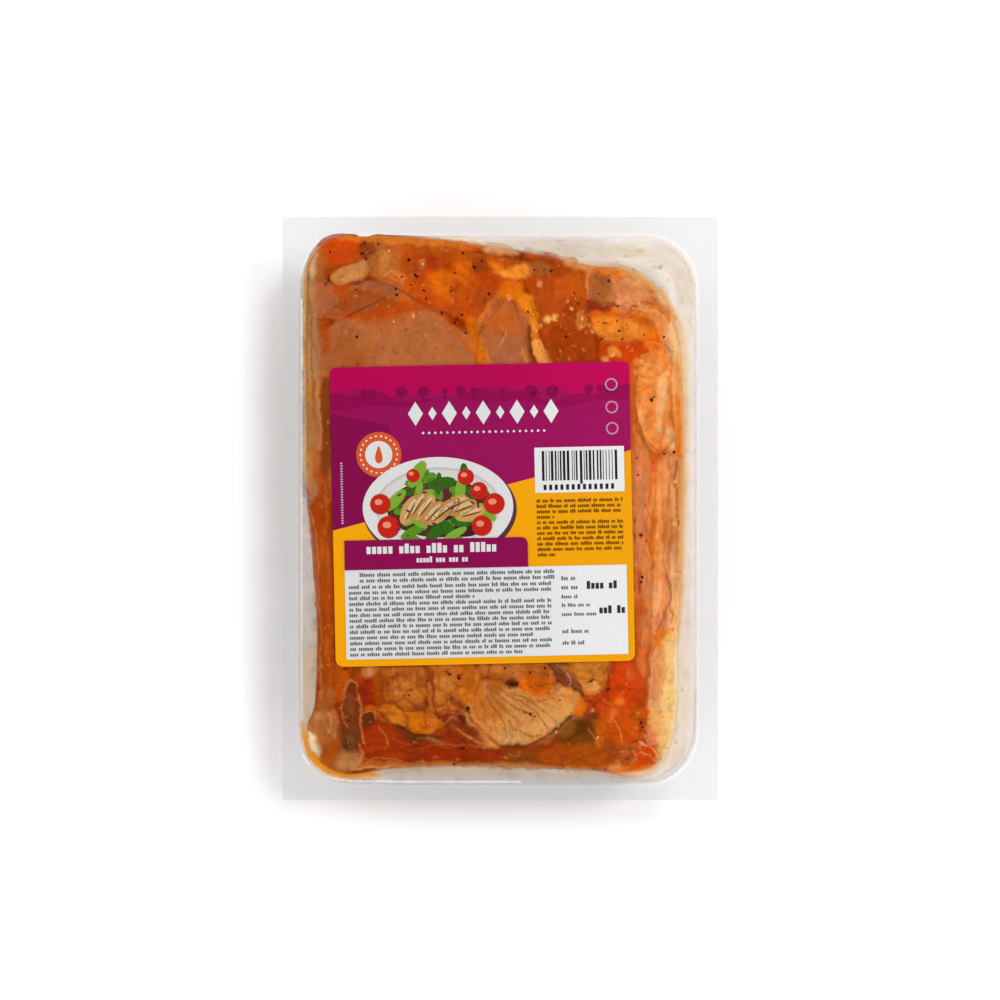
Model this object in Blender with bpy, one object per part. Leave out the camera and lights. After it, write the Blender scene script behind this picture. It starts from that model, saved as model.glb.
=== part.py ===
"""A sealed clear tray pack of marinated poultry steaks, with a square label on its top film.

Metres, +Z up. The pack lies flat as it would on a shelf, with its origin at the middle of its foot:
+X is the label's right and +Y is the label's top. The deep-drawn tray has a flat sealing flange and a
round-cornered pocket. The steaks, strips and trimmings that show through the film are pressed up
against it, and they lie on a bed that stands for the rest of the meat in its marinade.
"""

import math

import bmesh
import bpy
import numpy as np

MM = 0.001

# The pack
PACK_WIDTH = 144.0 * MM
PACK_LENGTH = 193.0 * MM
FLANGE_TOP = 29.0 * MM
WALL = 0.5 * MM
GAP = 0.3 * MM
FLANGE_CORNER = 0.8 * MM

# The pocket, measured inside, with the middle of its mouth a little off the middle of the flange
POCKET_AT = np.array([-0.7, -0.5]) * MM
MOUTH_WIDTH = 131.0 * MM
MOUTH_LENGTH = 181.0 * MM
MOUTH_CORNER = 17.0 * MM
DRAFT = 4.0 * MM
LIP_RADIUS = 1.2 * MM
FLOOR_RADIUS = 6.5 * MM

# The film, which the steaks push up in the middle and which sinks where the pocket is empty
FILM_THICK = 0.3 * MM
FILM_RISE = 1.3 * MM
FILM_DIP = 1.5 * MM
FILM_DIP_AT = (52.0 * MM, 76.0 * MM)
FILM_DIP_RADIUS = 17.0 * MM

# The label
LABEL_SIZE = 99.0 * MM
LABEL_THICK = 0.2 * MM
LABEL_CORNER = 2.2 * MM
LABEL_AT = (-5.9 * MM, -1.9 * MM)
LABEL_TURN = math.radians(1.2)

# The food. The steaks that show lie on one bed, which is the rest of the meat in its marinade
BED_BOTTOM = WALL + GAP
BED_TOP = 14.0 * MM
PIECE_BOTTOM = BED_TOP + GAP
SEAM = 0.7 * MM
RIM_RADIUS = 3.2 * MM
RIM_DROP = 2.2 * MM
SMALL_PIECE = 9.0 * MM
MOST_SPREAD = 1.5

# How far the food reaches from the middle of the pack, as a rounded outline, in millimetres
FOOD_OUTLINE = (
    (-64.0, 20.0), (-63.5, 60.0), (-61.0, 80.0), (-52.0, 89.0), (-25.0, 89.0), (0.0, 86.0), (30.0, 79.5),
    (45.0, 75.0), (57.0, 64.0), (61.0, 45.0), (61.5, 0.0), (60.5, -45.0), (58.5, -70.0), (53.0, -84.0),
    (38.0, -87.0), (-20.0, -85.0), (-45.0, -87.5), (-59.5, -84.5), (-63.0, -72.0), (-61.0, -45.0),
)

COLOURS = {
    "tray_clear": ((0.90, 0.91, 0.92), 0.12, 0.25),
    "film_clear": ((0.95, 0.95, 0.96), 0.08, 0.18),
    "label_print": ((0.36, 0.01, 0.12), 0.35, 1.0),
    "meat_smooth": ((0.46, 0.16, 0.06), 0.30, 1.0),
    "meat_sauced": ((0.60, 0.14, 0.01), 0.28, 1.0),
    "meat_pale": ((0.68, 0.33, 0.11), 0.32, 1.0),
    "meat_strip": ((0.70, 0.26, 0.09), 0.30, 1.0),
    "meat_cut": ((0.36, 0.14, 0.06), 0.34, 1.0),
    "skin_dark": ((0.16, 0.04, 0.02), 0.35, 1.0),
    "fat": ((0.80, 0.36, 0.06), 0.30, 1.0),
    "marinated_bed": ((0.52, 0.10, 0.006), 0.22, 1.0),
}


def millimetres(*points):
    """The points, given in millimetres, as an array in metres."""
    return np.array(points, float) * MM


def material(name):
    """The Principled material of that name: its colour, roughness and how solid it looks."""
    if name in bpy.data.materials:
        return bpy.data.materials[name]
    colour, roughness, alpha = COLOURS[name]
    made = bpy.data.materials.new(name)
    made.use_nodes = True
    shader = made.node_tree.nodes["Principled BSDF"]
    shader.inputs["Base Color"].default_value = (*colour, 1.0)
    shader.inputs["Roughness"].default_value = roughness
    shader.inputs["Metallic"].default_value = 0.0
    shader.inputs["Alpha"].default_value = alpha
    made.diffuse_color = (*colour, alpha)
    return made


def add_object(name, shape, material_name, smooth_angle=40.0):
    """A scene object from the bmesh shape, which is freed."""
    bmesh.ops.recalc_face_normals(shape, faces=shape.faces)
    mesh = bpy.data.meshes.new(name)
    shape.to_mesh(mesh)
    shape.free()
    mesh.shade_smooth()
    mesh.set_sharp_from_angle(angle=math.radians(smooth_angle))
    mesh.materials.append(material(material_name))
    made = bpy.data.objects.new(name, mesh)
    bpy.context.scene.collection.objects.link(made)
    return made


def skin(rings, first_point=None, last_point=None):
    """A closed shape through rings of equally many points. Each end closes flat, or to a point."""
    shape = bmesh.new()
    made = [[shape.verts.new(tuple(point)) for point in ring] for ring in rings]
    count = len(made[0])
    for low, high in zip(made, made[1:]):
        for i in range(count):
            j = (i + 1) % count
            shape.faces.new((low[i], low[j], high[j], high[i]))
    for ring, point in ((made[0], first_point), (made[-1], last_point)):
        if point is None:
            shape.faces.new(ring)
            continue
        tip = shape.verts.new(tuple(point))
        for i in range(count):
            shape.faces.new((ring[i], ring[(i + 1) % count], tip))
    bmesh.ops.triangulate(shape, faces=shape.faces)
    return shape


def round_ring(half_x, half_y, radius, per_corner=8):
    """Points round a rectangle with round corners, anticlockwise, in the plane."""
    points = []
    for quarter, (sx, sy) in enumerate(((1, 1), (-1, 1), (-1, -1), (1, -1))):
        for step in range(per_corner):
            angle = math.pi / 2 * (quarter + step / (per_corner - 1))
            points.append(
                (
                    sx * (half_x - radius) + radius * math.cos(angle),
                    sy * (half_y - radius) + radius * math.sin(angle),
                )
            )
    return np.array(points)


def film_rise(x, y):
    """How far the film stands above the flange: up over the steaks, down over the empty corner."""
    across = np.clip(1 - (2 * (x - POCKET_AT[0]) / MOUTH_WIDTH) ** 2, 0, 1)
    along = np.clip(1 - (2 * (y - POCKET_AT[1]) / MOUTH_LENGTH) ** 2, 0, 1)
    inside = across * along
    far = np.hypot(x - FILM_DIP_AT[0], y - FILM_DIP_AT[1]) / FILM_DIP_RADIUS
    return FILM_RISE * inside**0.6 - FILM_DIP * np.exp(-(far**2)) * np.clip(4 * inside, 0, 1)


def film_under(x, y):
    """Height of the film's underside."""
    return FLANGE_TOP + GAP + film_rise(x, y)


def pocket_half(z):
    """Half the pocket's inside width and length, and its corner radius, at a height on its wall."""
    mouth_z = FLANGE_TOP - LIP_RADIUS
    floor_z = WALL + FLOOR_RADIUS
    share = np.clip((mouth_z - z) / (mouth_z - floor_z), 0, 1)
    inward = DRAFT * share
    return np.array([MOUTH_WIDTH / 2 - inward, MOUTH_LENGTH / 2 - inward, MOUTH_CORNER - 0.6 * inward])


def tray_rings(thick):
    """The tray's inside as rings from the floor up to the flange, or its outside if thick is the wall."""
    rings = []
    floor_x, floor_y, floor_r = pocket_half(0.0)
    inner = FLOOR_RADIUS
    outer = FLOOR_RADIUS + thick
    for step in range(4):
        angle = math.pi / 2 * step / 3
        out = outer * math.sin(angle)
        ring = round_ring(floor_x - inner + out, floor_y - inner + out, floor_r - inner + out)
        rings.append((ring, WALL + inner - outer * math.cos(angle)))
    lip = LIP_RADIUS - thick
    mouth = round_ring(MOUTH_WIDTH / 2 + thick, MOUTH_LENGTH / 2 + thick, MOUTH_CORNER + thick)
    rings.append((mouth, FLANGE_TOP - LIP_RADIUS))
    for step in (1, 2):
        angle = math.pi / 2 * step / 2
        out = LIP_RADIUS - lip * math.cos(angle)
        ring = round_ring(MOUTH_WIDTH / 2 + out, MOUTH_LENGTH / 2 + out, MOUTH_CORNER + out)
        rings.append((ring, FLANGE_TOP - LIP_RADIUS + lip * math.sin(angle)))
    pocket = [np.column_stack([ring + POCKET_AT, np.full(len(ring), z)]) for ring, z in rings]
    edge = round_ring(PACK_WIDTH / 2, PACK_LENGTH / 2, FLANGE_CORNER)
    return pocket + [np.column_stack([edge, np.full(len(edge), FLANGE_TOP - thick)])]


def build_tray():
    """The deep-drawn tray: one shell from the floor, up the wall and over the lip to the flange."""
    inside = tray_rings(0.0)
    outside = tray_rings(WALL)
    return add_object("tray", skin(inside + outside[::-1]), "tray_clear")


def build_film():
    """The top film, sealed to the flange and lying on the steaks."""
    shape = bmesh.new()
    bmesh.ops.create_grid(shape, x_segments=14, y_segments=18, size=0.5)
    for vert in shape.verts:
        x = vert.co.x * PACK_WIDTH
        y = vert.co.y * PACK_LENGTH
        vert.co = (x, y, film_under(x, y))
    made = add_object("top_film", shape, "film_clear")
    solid = made.modifiers.new("thickness", "SOLIDIFY")
    solid.thickness = FILM_THICK
    solid.offset = 1.0
    return made


def label_outline():
    """The label's edge in its own plane, with points along its straight sides too."""
    corners = round_ring(LABEL_SIZE / 2, LABEL_SIZE / 2, LABEL_CORNER, per_corner=5)
    points = []
    for side in range(4):
        corner = corners[side * 5 : side * 5 + 5]
        start_of_next = corners[(side * 5 + 5) % len(corners)]
        points.extend(corner)
        points.extend(np.linspace(corner[-1], start_of_next, 7)[1:-1])
    return np.array(points)


def build_label():
    """The label, a square with round corners that follows the film."""
    cos, sin = math.cos(LABEL_TURN), math.sin(LABEL_TURN)
    turned = label_outline() @ np.array([[cos, sin], [-sin, cos]])
    levels = []
    for thick, shares in ((0.0, (0.3, 0.65, 1.0)), (LABEL_THICK, (1.0, 0.65, 0.3))):
        for share in shares:
            flat = turned * share + LABEL_AT
            z = film_under(flat[:, 0], flat[:, 1]) + FILM_THICK + GAP + thick
            levels.append(np.column_stack([flat, z]))
    middle_z = film_under(*LABEL_AT) + FILM_THICK + GAP
    low = (*LABEL_AT, middle_z)
    high = (*LABEL_AT, middle_z + LABEL_THICK)
    return add_object("label", skin(levels, low, high), "label_print")


def closed_curve(points, count=240):
    """A smooth closed curve through the points, by Catmull-Rom."""
    n = len(points)
    t = np.linspace(0, n, count, endpoint=False)
    k = np.floor(t).astype(int)
    f = (t - k)[:, None]
    a, b, c, d = (points[(k + shift) % n] for shift in (-1, 0, 1, 2))
    return 0.5 * (
        2 * b + (c - a) * f + (2 * a - 5 * b + 4 * c - d) * f**2 + (3 * b - a - 3 * c + d) * f**3
    )


class Plan:
    """The plan of a piece of food: how far it reaches from its middle in each direction."""

    def __init__(self, middle, angles, reach):
        self.middle = np.array(middle, float)
        self.angles = angles
        self.reach = reach
        self.ray = np.column_stack([np.cos(angles), np.sin(angles)])

    def share_out(self, points):
        """How far out each point lies, as a share of the piece's reach towards it."""
        out = points - self.middle
        angle = np.arctan2(out[..., 1], out[..., 0])
        reach = np.interp(angle, self.angles, self.reach, period=2 * math.pi)
        return np.hypot(out[..., 0], out[..., 1]) / reach

    def ring(self, inward=0.0, share=1.0):
        """The outline drawn in by a distance, then shrunk to a share about the middle."""
        reach = np.maximum(self.reach - inward, 0.4 * self.reach)
        return self.middle + self.ray * (share * reach)[:, None]


def around(count):
    """Directions, evenly spread all the way round."""
    return np.linspace(-math.pi, math.pi, count, endpoint=False)


def egg_plan(middle, half, turn, taper, squareness, count):
    """A rounded shape that is half long and wide, broader towards its turned end by the taper."""
    even = around(count)
    # Directions that space the points evenly along a long shape's outline
    local = np.arctan2(half[1] * np.sin(even), half[0] * np.cos(even))
    across = half[1] * (1 + taper * np.cos(local))
    along = np.abs(np.cos(local) / half[0]) ** squareness
    beside = np.abs(np.sin(local) / across) ** squareness
    reach = (along + beside) ** (-1 / squareness) * MM
    return Plan(np.array(middle) * MM, local + math.radians(turn), reach)


def outline_plan(points, count):
    """The plan of a smooth closed outline about the origin."""
    curve = closed_curve(millimetres(*points))
    angle = np.arctan2(curve[:, 1], curve[:, 0])
    order = np.argsort(angle)
    angles = around(count)
    far = np.hypot(curve[order, 0], curve[order, 1])
    return Plan((0.0, 0.0), angles, np.interp(angles, angle[order], far, period=2 * math.pi))


def inside_pocket(points, z):
    """Whether the points lie in the pocket at a height, a gap clear of its wall."""
    half_x, half_y, radius = pocket_half(z) - GAP
    x = np.abs(points[..., 0] - POCKET_AT[0]) - (half_x - radius)
    y = np.abs(points[..., 1] - POCKET_AT[1]) - (half_y - radius)
    corner = np.hypot(np.maximum(x, 0), np.maximum(y, 0)) < radius
    return (x < radius) & (y < radius) & corner


def is_clear(points, margin, plan, others, food, z):
    """Whether the points are the plan's own ground, with a margin kept from all that isn't."""
    clear = np.ones(points.shape[:-1], bool)
    for turn in around(8):
        test = points + margin * np.array([math.cos(turn), math.sin(turn)])
        clear &= (food.share_out(test) < 1) & inside_pocket(test, z)
        own = plan.share_out(test)
        for other in others:
            clear &= own < other.share_out(test)
    return clear


def fitted(plan, others, food, z):
    """The plan grown or cut back until it meets its neighbours, the food's outline or the wall.

    Two pieces meet where each is as far out as the other, as a share of its own reach.
    """
    steps = np.linspace(0.02, MOST_SPREAD, 150)
    points = plan.middle + plan.ray[:, None] * (steps[:, None] * plan.reach[:, None, None])
    clear = is_clear(points, SEAM / 2, plan, others, food, z)
    free = np.logical_and.accumulate(clear, axis=1).sum(1)
    reach = plan.reach * steps[np.maximum(free - 1, 0)]
    # A lone long ray would stand out as a spike
    reach = np.minimum(reach, 1.15 * (np.roll(reach, 1) + np.roll(reach, -1)) / 2)
    shares = np.array([0.2, 0.4, 0.6, 0.8])[:, None, None]
    for _ in range(80):
        corners = plan.middle + plan.ray * reach[:, None]
        sides = corners + (np.roll(corners, -1, axis=0) - corners) * shares
        crossing = ~is_clear(sides, SEAM / 4, plan, others, food, z).all(0)
        if not crossing.any():
            break
        reach[crossing | np.roll(crossing, 1)] *= 0.98
    return Plan(plan.middle, plan.angles, reach)


def add_pillow(name, plan, top, rim, material_name):
    """A slab over the plan with a flat bottom and a rounded rim. top gives heights for points.

    rim is the rim's radius in the plan and its drop. A small piece has fewer rings on its top.
    """
    inward, drop = rim
    rings = [(plan.ring(1.2 * MM), lambda flat: np.full(len(flat), PIECE_BOTTOM))]
    rings.append((plan.ring(), lambda flat: np.full(len(flat), PIECE_BOTTOM + 2.0 * MM)))
    for step in (0.0, 0.34, 1.0):
        ring = plan.ring(inward * (0.12 * min(1.0, 9 * step) + 0.88 * step))
        fall = drop * (1 - math.sqrt(1 - (1 - step) ** 2))
        rings.append((ring, lambda flat, fall=fall: top(flat) - fall))
    for share in (0.66, 0.33) if plan.reach.max() > SMALL_PIECE else (0.55,):
        rings.append((plan.ring(inward, share), top))
    levels = [np.column_stack([flat, height(flat)]) for flat, height in rings]
    low = (*plan.middle, PIECE_BOTTOM)
    high = (*plan.middle, float(top(plan.middle[None])[0]))
    return add_object(name, skin(levels, low, high), material_name, smooth_angle=60.0)


def smooth_top(drop):
    """A top pressed flat against the film, drop below it."""
    return lambda flat: film_under(flat[:, 0], flat[:, 1]) - GAP - drop * MM


def lumpy_top(drop, depth, pitch):
    """A top of soft lumps, pitch apart."""
    under = smooth_top(drop)

    def top(flat):
        wave = 2 * math.pi / (pitch * MM)
        lumps = np.sin(wave * flat[:, 0]) * np.sin(wave * (0.8 * flat[:, 1] + 0.6 * flat[:, 0]))
        return under(flat) - depth * MM * (0.5 + 0.5 * lumps)

    return top


def fan_top(drop, depth, hub, spread):
    """A top of muscle bundles that fan out from a hub, with a groove every spread degrees."""
    under = smooth_top(drop)

    def top(flat):
        angle = np.arctan2(flat[:, 1] - hub[1] * MM, flat[:, 0] - hub[0] * MM)
        groove = np.abs(np.sin(angle * 180 / spread))
        return under(flat) - depth * MM * (1 - groove)

    return top


# The food that shows. Each row is the name, the material and the form of the top, then the middle, the
# half length and width, the turn in degrees, the taper, the squareness and the points round the outline
PIECES = (
    ("corner_steak_top_left", "meat_sauced", lumpy_top(0.3, 0.5, 10),
     (-54.0, 83.0), (9.0, 6.5), 35, 0.1, 2.4, 20),
    ("pale_fat_left", "fat", smooth_top(0.25),
     (-49.7, 77.4), (6.4, 2.8), 20, 0.0, 2.1, 14),
    ("trimming_left", "meat_strip", lumpy_top(0.4, 0.4, 8),
     (-57.0, 68.0), (5.5, 3.8), 100, 0.1, 2.2, 14),
    ("upper_left_steak", "meat_smooth", smooth_top(0.1),
     (-36.1, 34.9), (36.6, 27.8), -91, 0.0, 2.6, 36),
    ("top_steak", "meat_sauced", lumpy_top(0.25, 0.6, 13),
     (-19.3, 76.2), (22.5, 12.0), -20, 0.3, 3.0, 30),
    ("tongue_steak", "meat_smooth", smooth_top(0.1),
     (1.7, 41.0), (28.0, 9.2), -88, 0.0, 2.0, 26),
    ("fat_strand", "fat", lumpy_top(0.35, 0.4, 6),
     (10.8, 57.7), (16.3, 2.6), 109, 0.0, 3.0, 16),
    ("top_middle_steak", "meat_smooth", smooth_top(0.3),
     (21.8, 55.1), (31.0, 8.8), 102, 0.1, 3.0, 28),
    ("cut_end_top_right", "meat_cut", lumpy_top(0.4, 0.5, 8),
     (38.6, 72.2), (12.2, 5.6), 161, 0.1, 2.0, 18),
    ("rim_steak_top_right", "meat_sauced", lumpy_top(0.6, 0.5, 12),
     (55.4, 61.0), (10.9, 2.9), -65, 0.3, 3.0, 16),
    ("yellow_fat_top_right", "fat", smooth_top(0.2),
     (41.7, 61.4), (11.9, 5.3), 175, 0.0, 2.6, 18),
    ("sauced_steak_right", "meat_sauced", lumpy_top(0.35, 0.5, 11),
     (39.2, 42.5), (15.9, 6.4), 88, 0.2, 3.0, 18),
    ("fillet_right", "meat_pale", lumpy_top(0.3, 0.6, 11),
     (50.8, 35.9), (17.6, 6.2), 93, 0.1, 3.0, 22),
    ("rim_strip_right", "meat_sauced", smooth_top(0.5),
     (59.2, 35.1), (18.5, 2.9), -87, 0.0, 2.0, 16),
    ("inner_strip_right", "meat_strip", lumpy_top(0.3, 0.5, 9),
     (46.7, -16.5), (43.0, 3.8), 90, 0.2, 2.8, 26),
    ("outer_strip_right", "meat_strip", lumpy_top(0.3, 0.5, 10),
     (55.9, -12.3), (32.2, 5.4), -91, 0.0, 3.4, 26),
    ("low_strip_right", "meat_strip", smooth_top(0.5),
     (54.5, -54.6), (11.7, 6.4), -92, 0.0, 3.0, 16),
    ("sauced_steak_low_right", "meat_sauced", lumpy_top(0.3, 0.7, 12),
     (40.3, -64.8), (15.0, 7.6), -89, 0.0, 2.6, 22),
    ("pink_trimming", "meat_strip", lumpy_top(0.6, 0.4, 8),
     (52.5, -71.5), (5.5, 4.3), 90, 0.0, 2.2, 14),
    ("corner_steak_low_right", "meat_cut", lumpy_top(0.4, 0.6, 8),
     (44.5, -82.3), (10.7, 5.0), 7, 0.0, 2.0, 18),
    ("fan_steak", "meat_pale", fan_top(0.15, 0.6, (3.0, -50.0), 9),
     (8.5, -67.8), (18.2, 10.3), -175, 0.2, 2.6, 40),
    ("left_lump", "meat_pale", lumpy_top(0.2, 0.5, 9),
     (-31.6, -59.1), (7.5, 6.7), 169, 0.0, 2.2, 18),
    ("fat_lobes", "fat", fan_top(0.3, 0.7, (-30.5, -62.0), 22),
     (-29.7, -69.9), (9.0, 3.3), -22, 0.0, 3.0, 24),
    ("middle_lump", "meat_pale", lumpy_top(0.25, 0.5, 9),
     (-16.2, -58.7), (7.8, 7.3), -13, 0.1, 2.6, 18),
    ("right_lump", "meat_pale", lumpy_top(0.3, 0.6, 8),
     (6.6, -54.2), (11.3, 5.2), -12, 0.2, 2.8, 20),
    ("tendon", "skin_dark", smooth_top(0.35),
     (21.8, -55.5), (6.8, 2.2), 138, 0.0, 2.4, 12),
    ("tan_piece", "meat_pale", lumpy_top(0.25, 0.6, 9),
     (29.5, -54.6), (7.9, 6.4), 97, 0.4, 2.5, 18),
    ("skin_wedge", "skin_dark", lumpy_top(0.4, 0.4, 7),
     (-49.3, -69.8), (11.1, 3.1), -87, 0.1, 2.6, 16),
    ("round_trimming", "skin_dark", smooth_top(0.5),
     (-43.8, -69.8), (2.2, 2.0), 0, 0.0, 2.0, 12),
    ("corner_steak_low_left", "meat_cut", smooth_top(0.4),
     (-56.3, -78.0), (9.6, 5.6), 115, 0.1, 3.0, 18),
    ("sauced_steak_low_left", "meat_sauced", smooth_top(0.8),
     (-30.7, -80.6), (17.9, 5.7), 177, 0.2, 3.0, 20),
    ("sauced_steak_low_middle", "meat_sauced", smooth_top(0.9),
     (5.0, -82.3), (17.2, 2.9), 0, 0.0, 3.0, 18),
    ("skin_flap", "skin_dark", smooth_top(1.1),
     (27.3, -78.4), (8.7, 8.4), -101, 0.2, 2.0, 18),
    ("left_steak", "meat_sauced", smooth_top(0.2),
     (-43.3, -28.1), (31.1, 21.2), 79, 0.2, 2.7, 34),
    ("middle_steak", "meat_smooth", smooth_top(0.2),
     (14.2, -1.3), (29.8, 16.8), 10, 0.1, 3.0, 28),
    ("low_middle_steak", "meat_pale", smooth_top(0.2),
     (4.2, -33.3), (30.6, 14.6), 0, 0.0, 3.0, 26),
    ("right_steak", "meat_sauced", smooth_top(0.2),
     (39.2, -31.2), (18.4, 4.7), 93, 0.0, 2.8, 18),
)


def build_bed(food):
    """The rest of the meat in its marinade: one mass that fills the pocket up to the steaks."""
    lean = ((0.90, BED_BOTTOM), (0.955, 2.6 * MM), (1.0, 6.5 * MM), (1.0, BED_TOP - 1.6 * MM))
    rings = []
    for share, z in lean + ((0.985, BED_TOP - 0.3 * MM), (0.95, BED_TOP)):
        allowed = np.full(len(food.angles), share)
        for i, ray in enumerate(food.ray):
            while not inside_pocket(ray * food.reach[i] * allowed[i], max(z, 2.0 * MM)):
                allowed[i] -= 0.005
        inward = max(FLOOR_RADIUS + WALL - z, 0.0) / FLOOR_RADIUS
        fillet = FLOOR_RADIUS * (1 - math.sqrt(1 - inward**2))
        flat = food.ray * (food.reach * allowed - fillet)[:, None]
        rings.append(np.column_stack([flat, np.full(len(flat), z)]))
    add_object("meat_bed", skin(rings, (0, 0, BED_BOTTOM), (0, 0, BED_TOP)), "marinated_bed")


def build_pieces(food):
    """The food that shows through the film, each piece fitted between its neighbours."""
    plans = [egg_plan(*row[3:8], count=row[8]) for row in PIECES]
    for i, row in enumerate(PIECES):
        others = plans[:i] + plans[i + 1 :]
        plan = fitted(plans[i], others, food, PIECE_BOTTOM)
        small = plan.reach.max() < SMALL_PIECE
        rim = (RIM_RADIUS * (0.5 if small else 1.0), RIM_DROP * (0.7 if small else 1.0))
        add_pillow(row[0], plan, row[2], rim, row[1])


def main():
    for old in list(bpy.data.objects):
        bpy.data.objects.remove(old)
    build_tray()
    build_film()
    build_label()
    food = outline_plan(FOOD_OUTLINE, 48)
    build_bed(food)
    build_pieces(food)


main()
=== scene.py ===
"""The dressed meat tray pack: clear tray and film, marinated steaks with their sauce, and a printed label.

Shapes are worked out in millimetres in the pack's own frame and turned into metres when a mesh is made.
"""

import math

import bmesh
import bpy
import numpy as np
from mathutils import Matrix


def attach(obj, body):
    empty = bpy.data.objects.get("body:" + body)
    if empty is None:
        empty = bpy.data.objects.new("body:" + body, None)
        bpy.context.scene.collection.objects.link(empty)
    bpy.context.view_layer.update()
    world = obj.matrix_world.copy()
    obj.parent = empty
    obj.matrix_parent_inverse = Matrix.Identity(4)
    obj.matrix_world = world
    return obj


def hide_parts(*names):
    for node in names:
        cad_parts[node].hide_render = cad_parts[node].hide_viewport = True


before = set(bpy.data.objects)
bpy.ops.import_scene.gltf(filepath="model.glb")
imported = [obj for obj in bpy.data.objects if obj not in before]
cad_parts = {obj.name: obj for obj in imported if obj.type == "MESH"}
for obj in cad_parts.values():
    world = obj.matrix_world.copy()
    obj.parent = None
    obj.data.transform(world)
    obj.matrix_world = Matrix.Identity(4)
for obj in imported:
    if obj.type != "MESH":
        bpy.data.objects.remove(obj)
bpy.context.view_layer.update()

MM = 0.001

# The pack, as built: its flange, its pocket, the film over the food and the label
FLANGE_TOP = 29.0
WALL = 0.5
GAP = 0.3
POCKET_AT = (-0.7, -0.5)
MOUTH_HALF = (65.5, 90.5)
MOUTH_CORNER = 17.0
DRAFT = 4.0
LIP_RADIUS = 1.2
FLOOR_RADIUS = 6.5
FILM_RISE = 1.3
FILM_DIP = 1.5
FILM_DIP_AT = (52.0, 76.0)
FILM_DIP_RADIUS = 17.0
PIECE_BOTTOM = 14.3
LABEL_HALF = 49.5
LABEL_CORNER = 2.2
LABEL_AT = (-5.9, -1.9)
LABEL_TURN = math.radians(1.2)

# How the photograph's pixels map to the pack, for details placed one by one
PHOTO_MIDDLE = (500.2, 508.4)
PHOTO_SCALE = 0.331


def at(px, py):
    """A place in the photograph as millimetres on the pack."""
    return (px - PHOTO_MIDDLE[0]) * PHOTO_SCALE, (PHOTO_MIDDLE[1] - py) * PHOTO_SCALE


def linear(*srgb):
    """A colour given as 0 to 255, in linear light."""
    c = np.array(srgb, float) / 255
    return np.where(c < 0.04045, c / 12.92, ((c + 0.055) / 1.055) ** 2.4)


# Noise and small helpers


class Noise:
    """Smooth value noise from 0 to 1 on the plane."""

    def __init__(self, seed):
        self.table = np.random.default_rng(seed).random((128, 128))

    def __call__(self, x, y):
        i, j = np.floor(x).astype(int), np.floor(y).astype(int)
        u, v = x - i, y - j
        u, v = u * u * (3 - 2 * u), v * v * (3 - 2 * v)
        t = self.table
        i0, i1, j0, j1 = i % 128, (i + 1) % 128, j % 128, (j + 1) % 128
        low = t[i0, j0] * (1 - u) + t[i1, j0] * u
        high = t[i0, j1] * (1 - u) + t[i1, j1] * u
        return low * (1 - v) + high * v


def fbm(x, y, size, seed=0, octaves=4):
    """Layered noise from 0 to 1, with its largest features size millimetres across."""
    total, weight, amount = 0.0, 0.0, 1.0
    for k in range(octaves):
        turn = 0.6 + 1.1 * k
        a, b = math.cos(turn), math.sin(turn)
        scale = 2**k / size
        total = total + amount * Noise(seed * 17 + k)((a * x - b * y) * scale, (b * x + a * y) * scale)
        weight += amount
        amount *= 0.5
    return total / weight


def smooth(value, low, high):
    """0 below low, 1 above high, and a smooth step between."""
    t = np.clip((value - low) / (high - low), 0, 1)
    return t * t * (3 - 2 * t)


def mix(a, b, share):
    """Colours a and b mixed, where share is one number per point."""
    share = np.asarray(share)[..., None]
    return a * (1 - share) + b * share


def film_under(x, y):
    """Height of the film's underside."""
    across = np.clip(1 - ((x - POCKET_AT[0]) / MOUTH_HALF[0]) ** 2, 0, 1)
    along = np.clip(1 - ((y - POCKET_AT[1]) / MOUTH_HALF[1]) ** 2, 0, 1)
    inside = across * along
    far = np.hypot(x - FILM_DIP_AT[0], y - FILM_DIP_AT[1]) / FILM_DIP_RADIUS
    rise = FILM_RISE * inside**0.6 - FILM_DIP * np.exp(-(far**2)) * np.clip(4 * inside, 0, 1)
    return FLANGE_TOP + GAP + rise


def new_mesh(name, points, faces, material, colours, values=None):
    """An object from points in millimetres, with per-point colours and values for its material."""
    mesh = bpy.data.meshes.new(name)
    mesh.from_pydata((np.asarray(points) * MM).tolist(), [], faces)
    mesh.validate()
    mesh.shade_smooth()
    mesh.materials.append(material)
    data = mesh.attributes.new("paint", "FLOAT_COLOR", "POINT")
    full = np.concatenate([colours, np.ones((len(colours), 1))], axis=1)
    data.data.foreach_set("color", full.astype(np.float32).ravel())
    for key, value in (values or {}).items():
        data = mesh.attributes.new(key, "FLOAT", "POINT")
        data.data.foreach_set("value", np.asarray(value, np.float32))
    made = bpy.data.objects.new(name, mesh)
    bpy.context.scene.collection.objects.link(made)
    return made


def ring_faces(count, levels, start=0):
    """Quads between rings of count points, one ring after another."""
    i = np.arange(count)
    j = (i + 1) % count
    quads = []
    for level in range(levels - 1):
        a = start + level * count
        quads.append(np.column_stack([a + i, a + j, a + count + j, a + count + i]))
    return np.concatenate(quads).tolist()


def tip_faces(ring_start, count, tip, up):
    """Triangles from a ring to a point."""
    order = [(ring_start + i, ring_start + (i + 1) % count, tip) for i in range(count)]
    return order if up else [face[::-1] for face in order]


def grid_faces(columns, rows, keep):
    """Quads of a grid stored row by row. keep says which points the quads may use."""
    i, j = np.meshgrid(np.arange(columns - 1), np.arange(rows - 1))
    a = (j * columns + i).ravel()
    quads = np.column_stack([a, a + 1, a + 1 + columns, a + columns])
    return quads[keep[quads].all(1)].tolist()


# Materials


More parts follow.
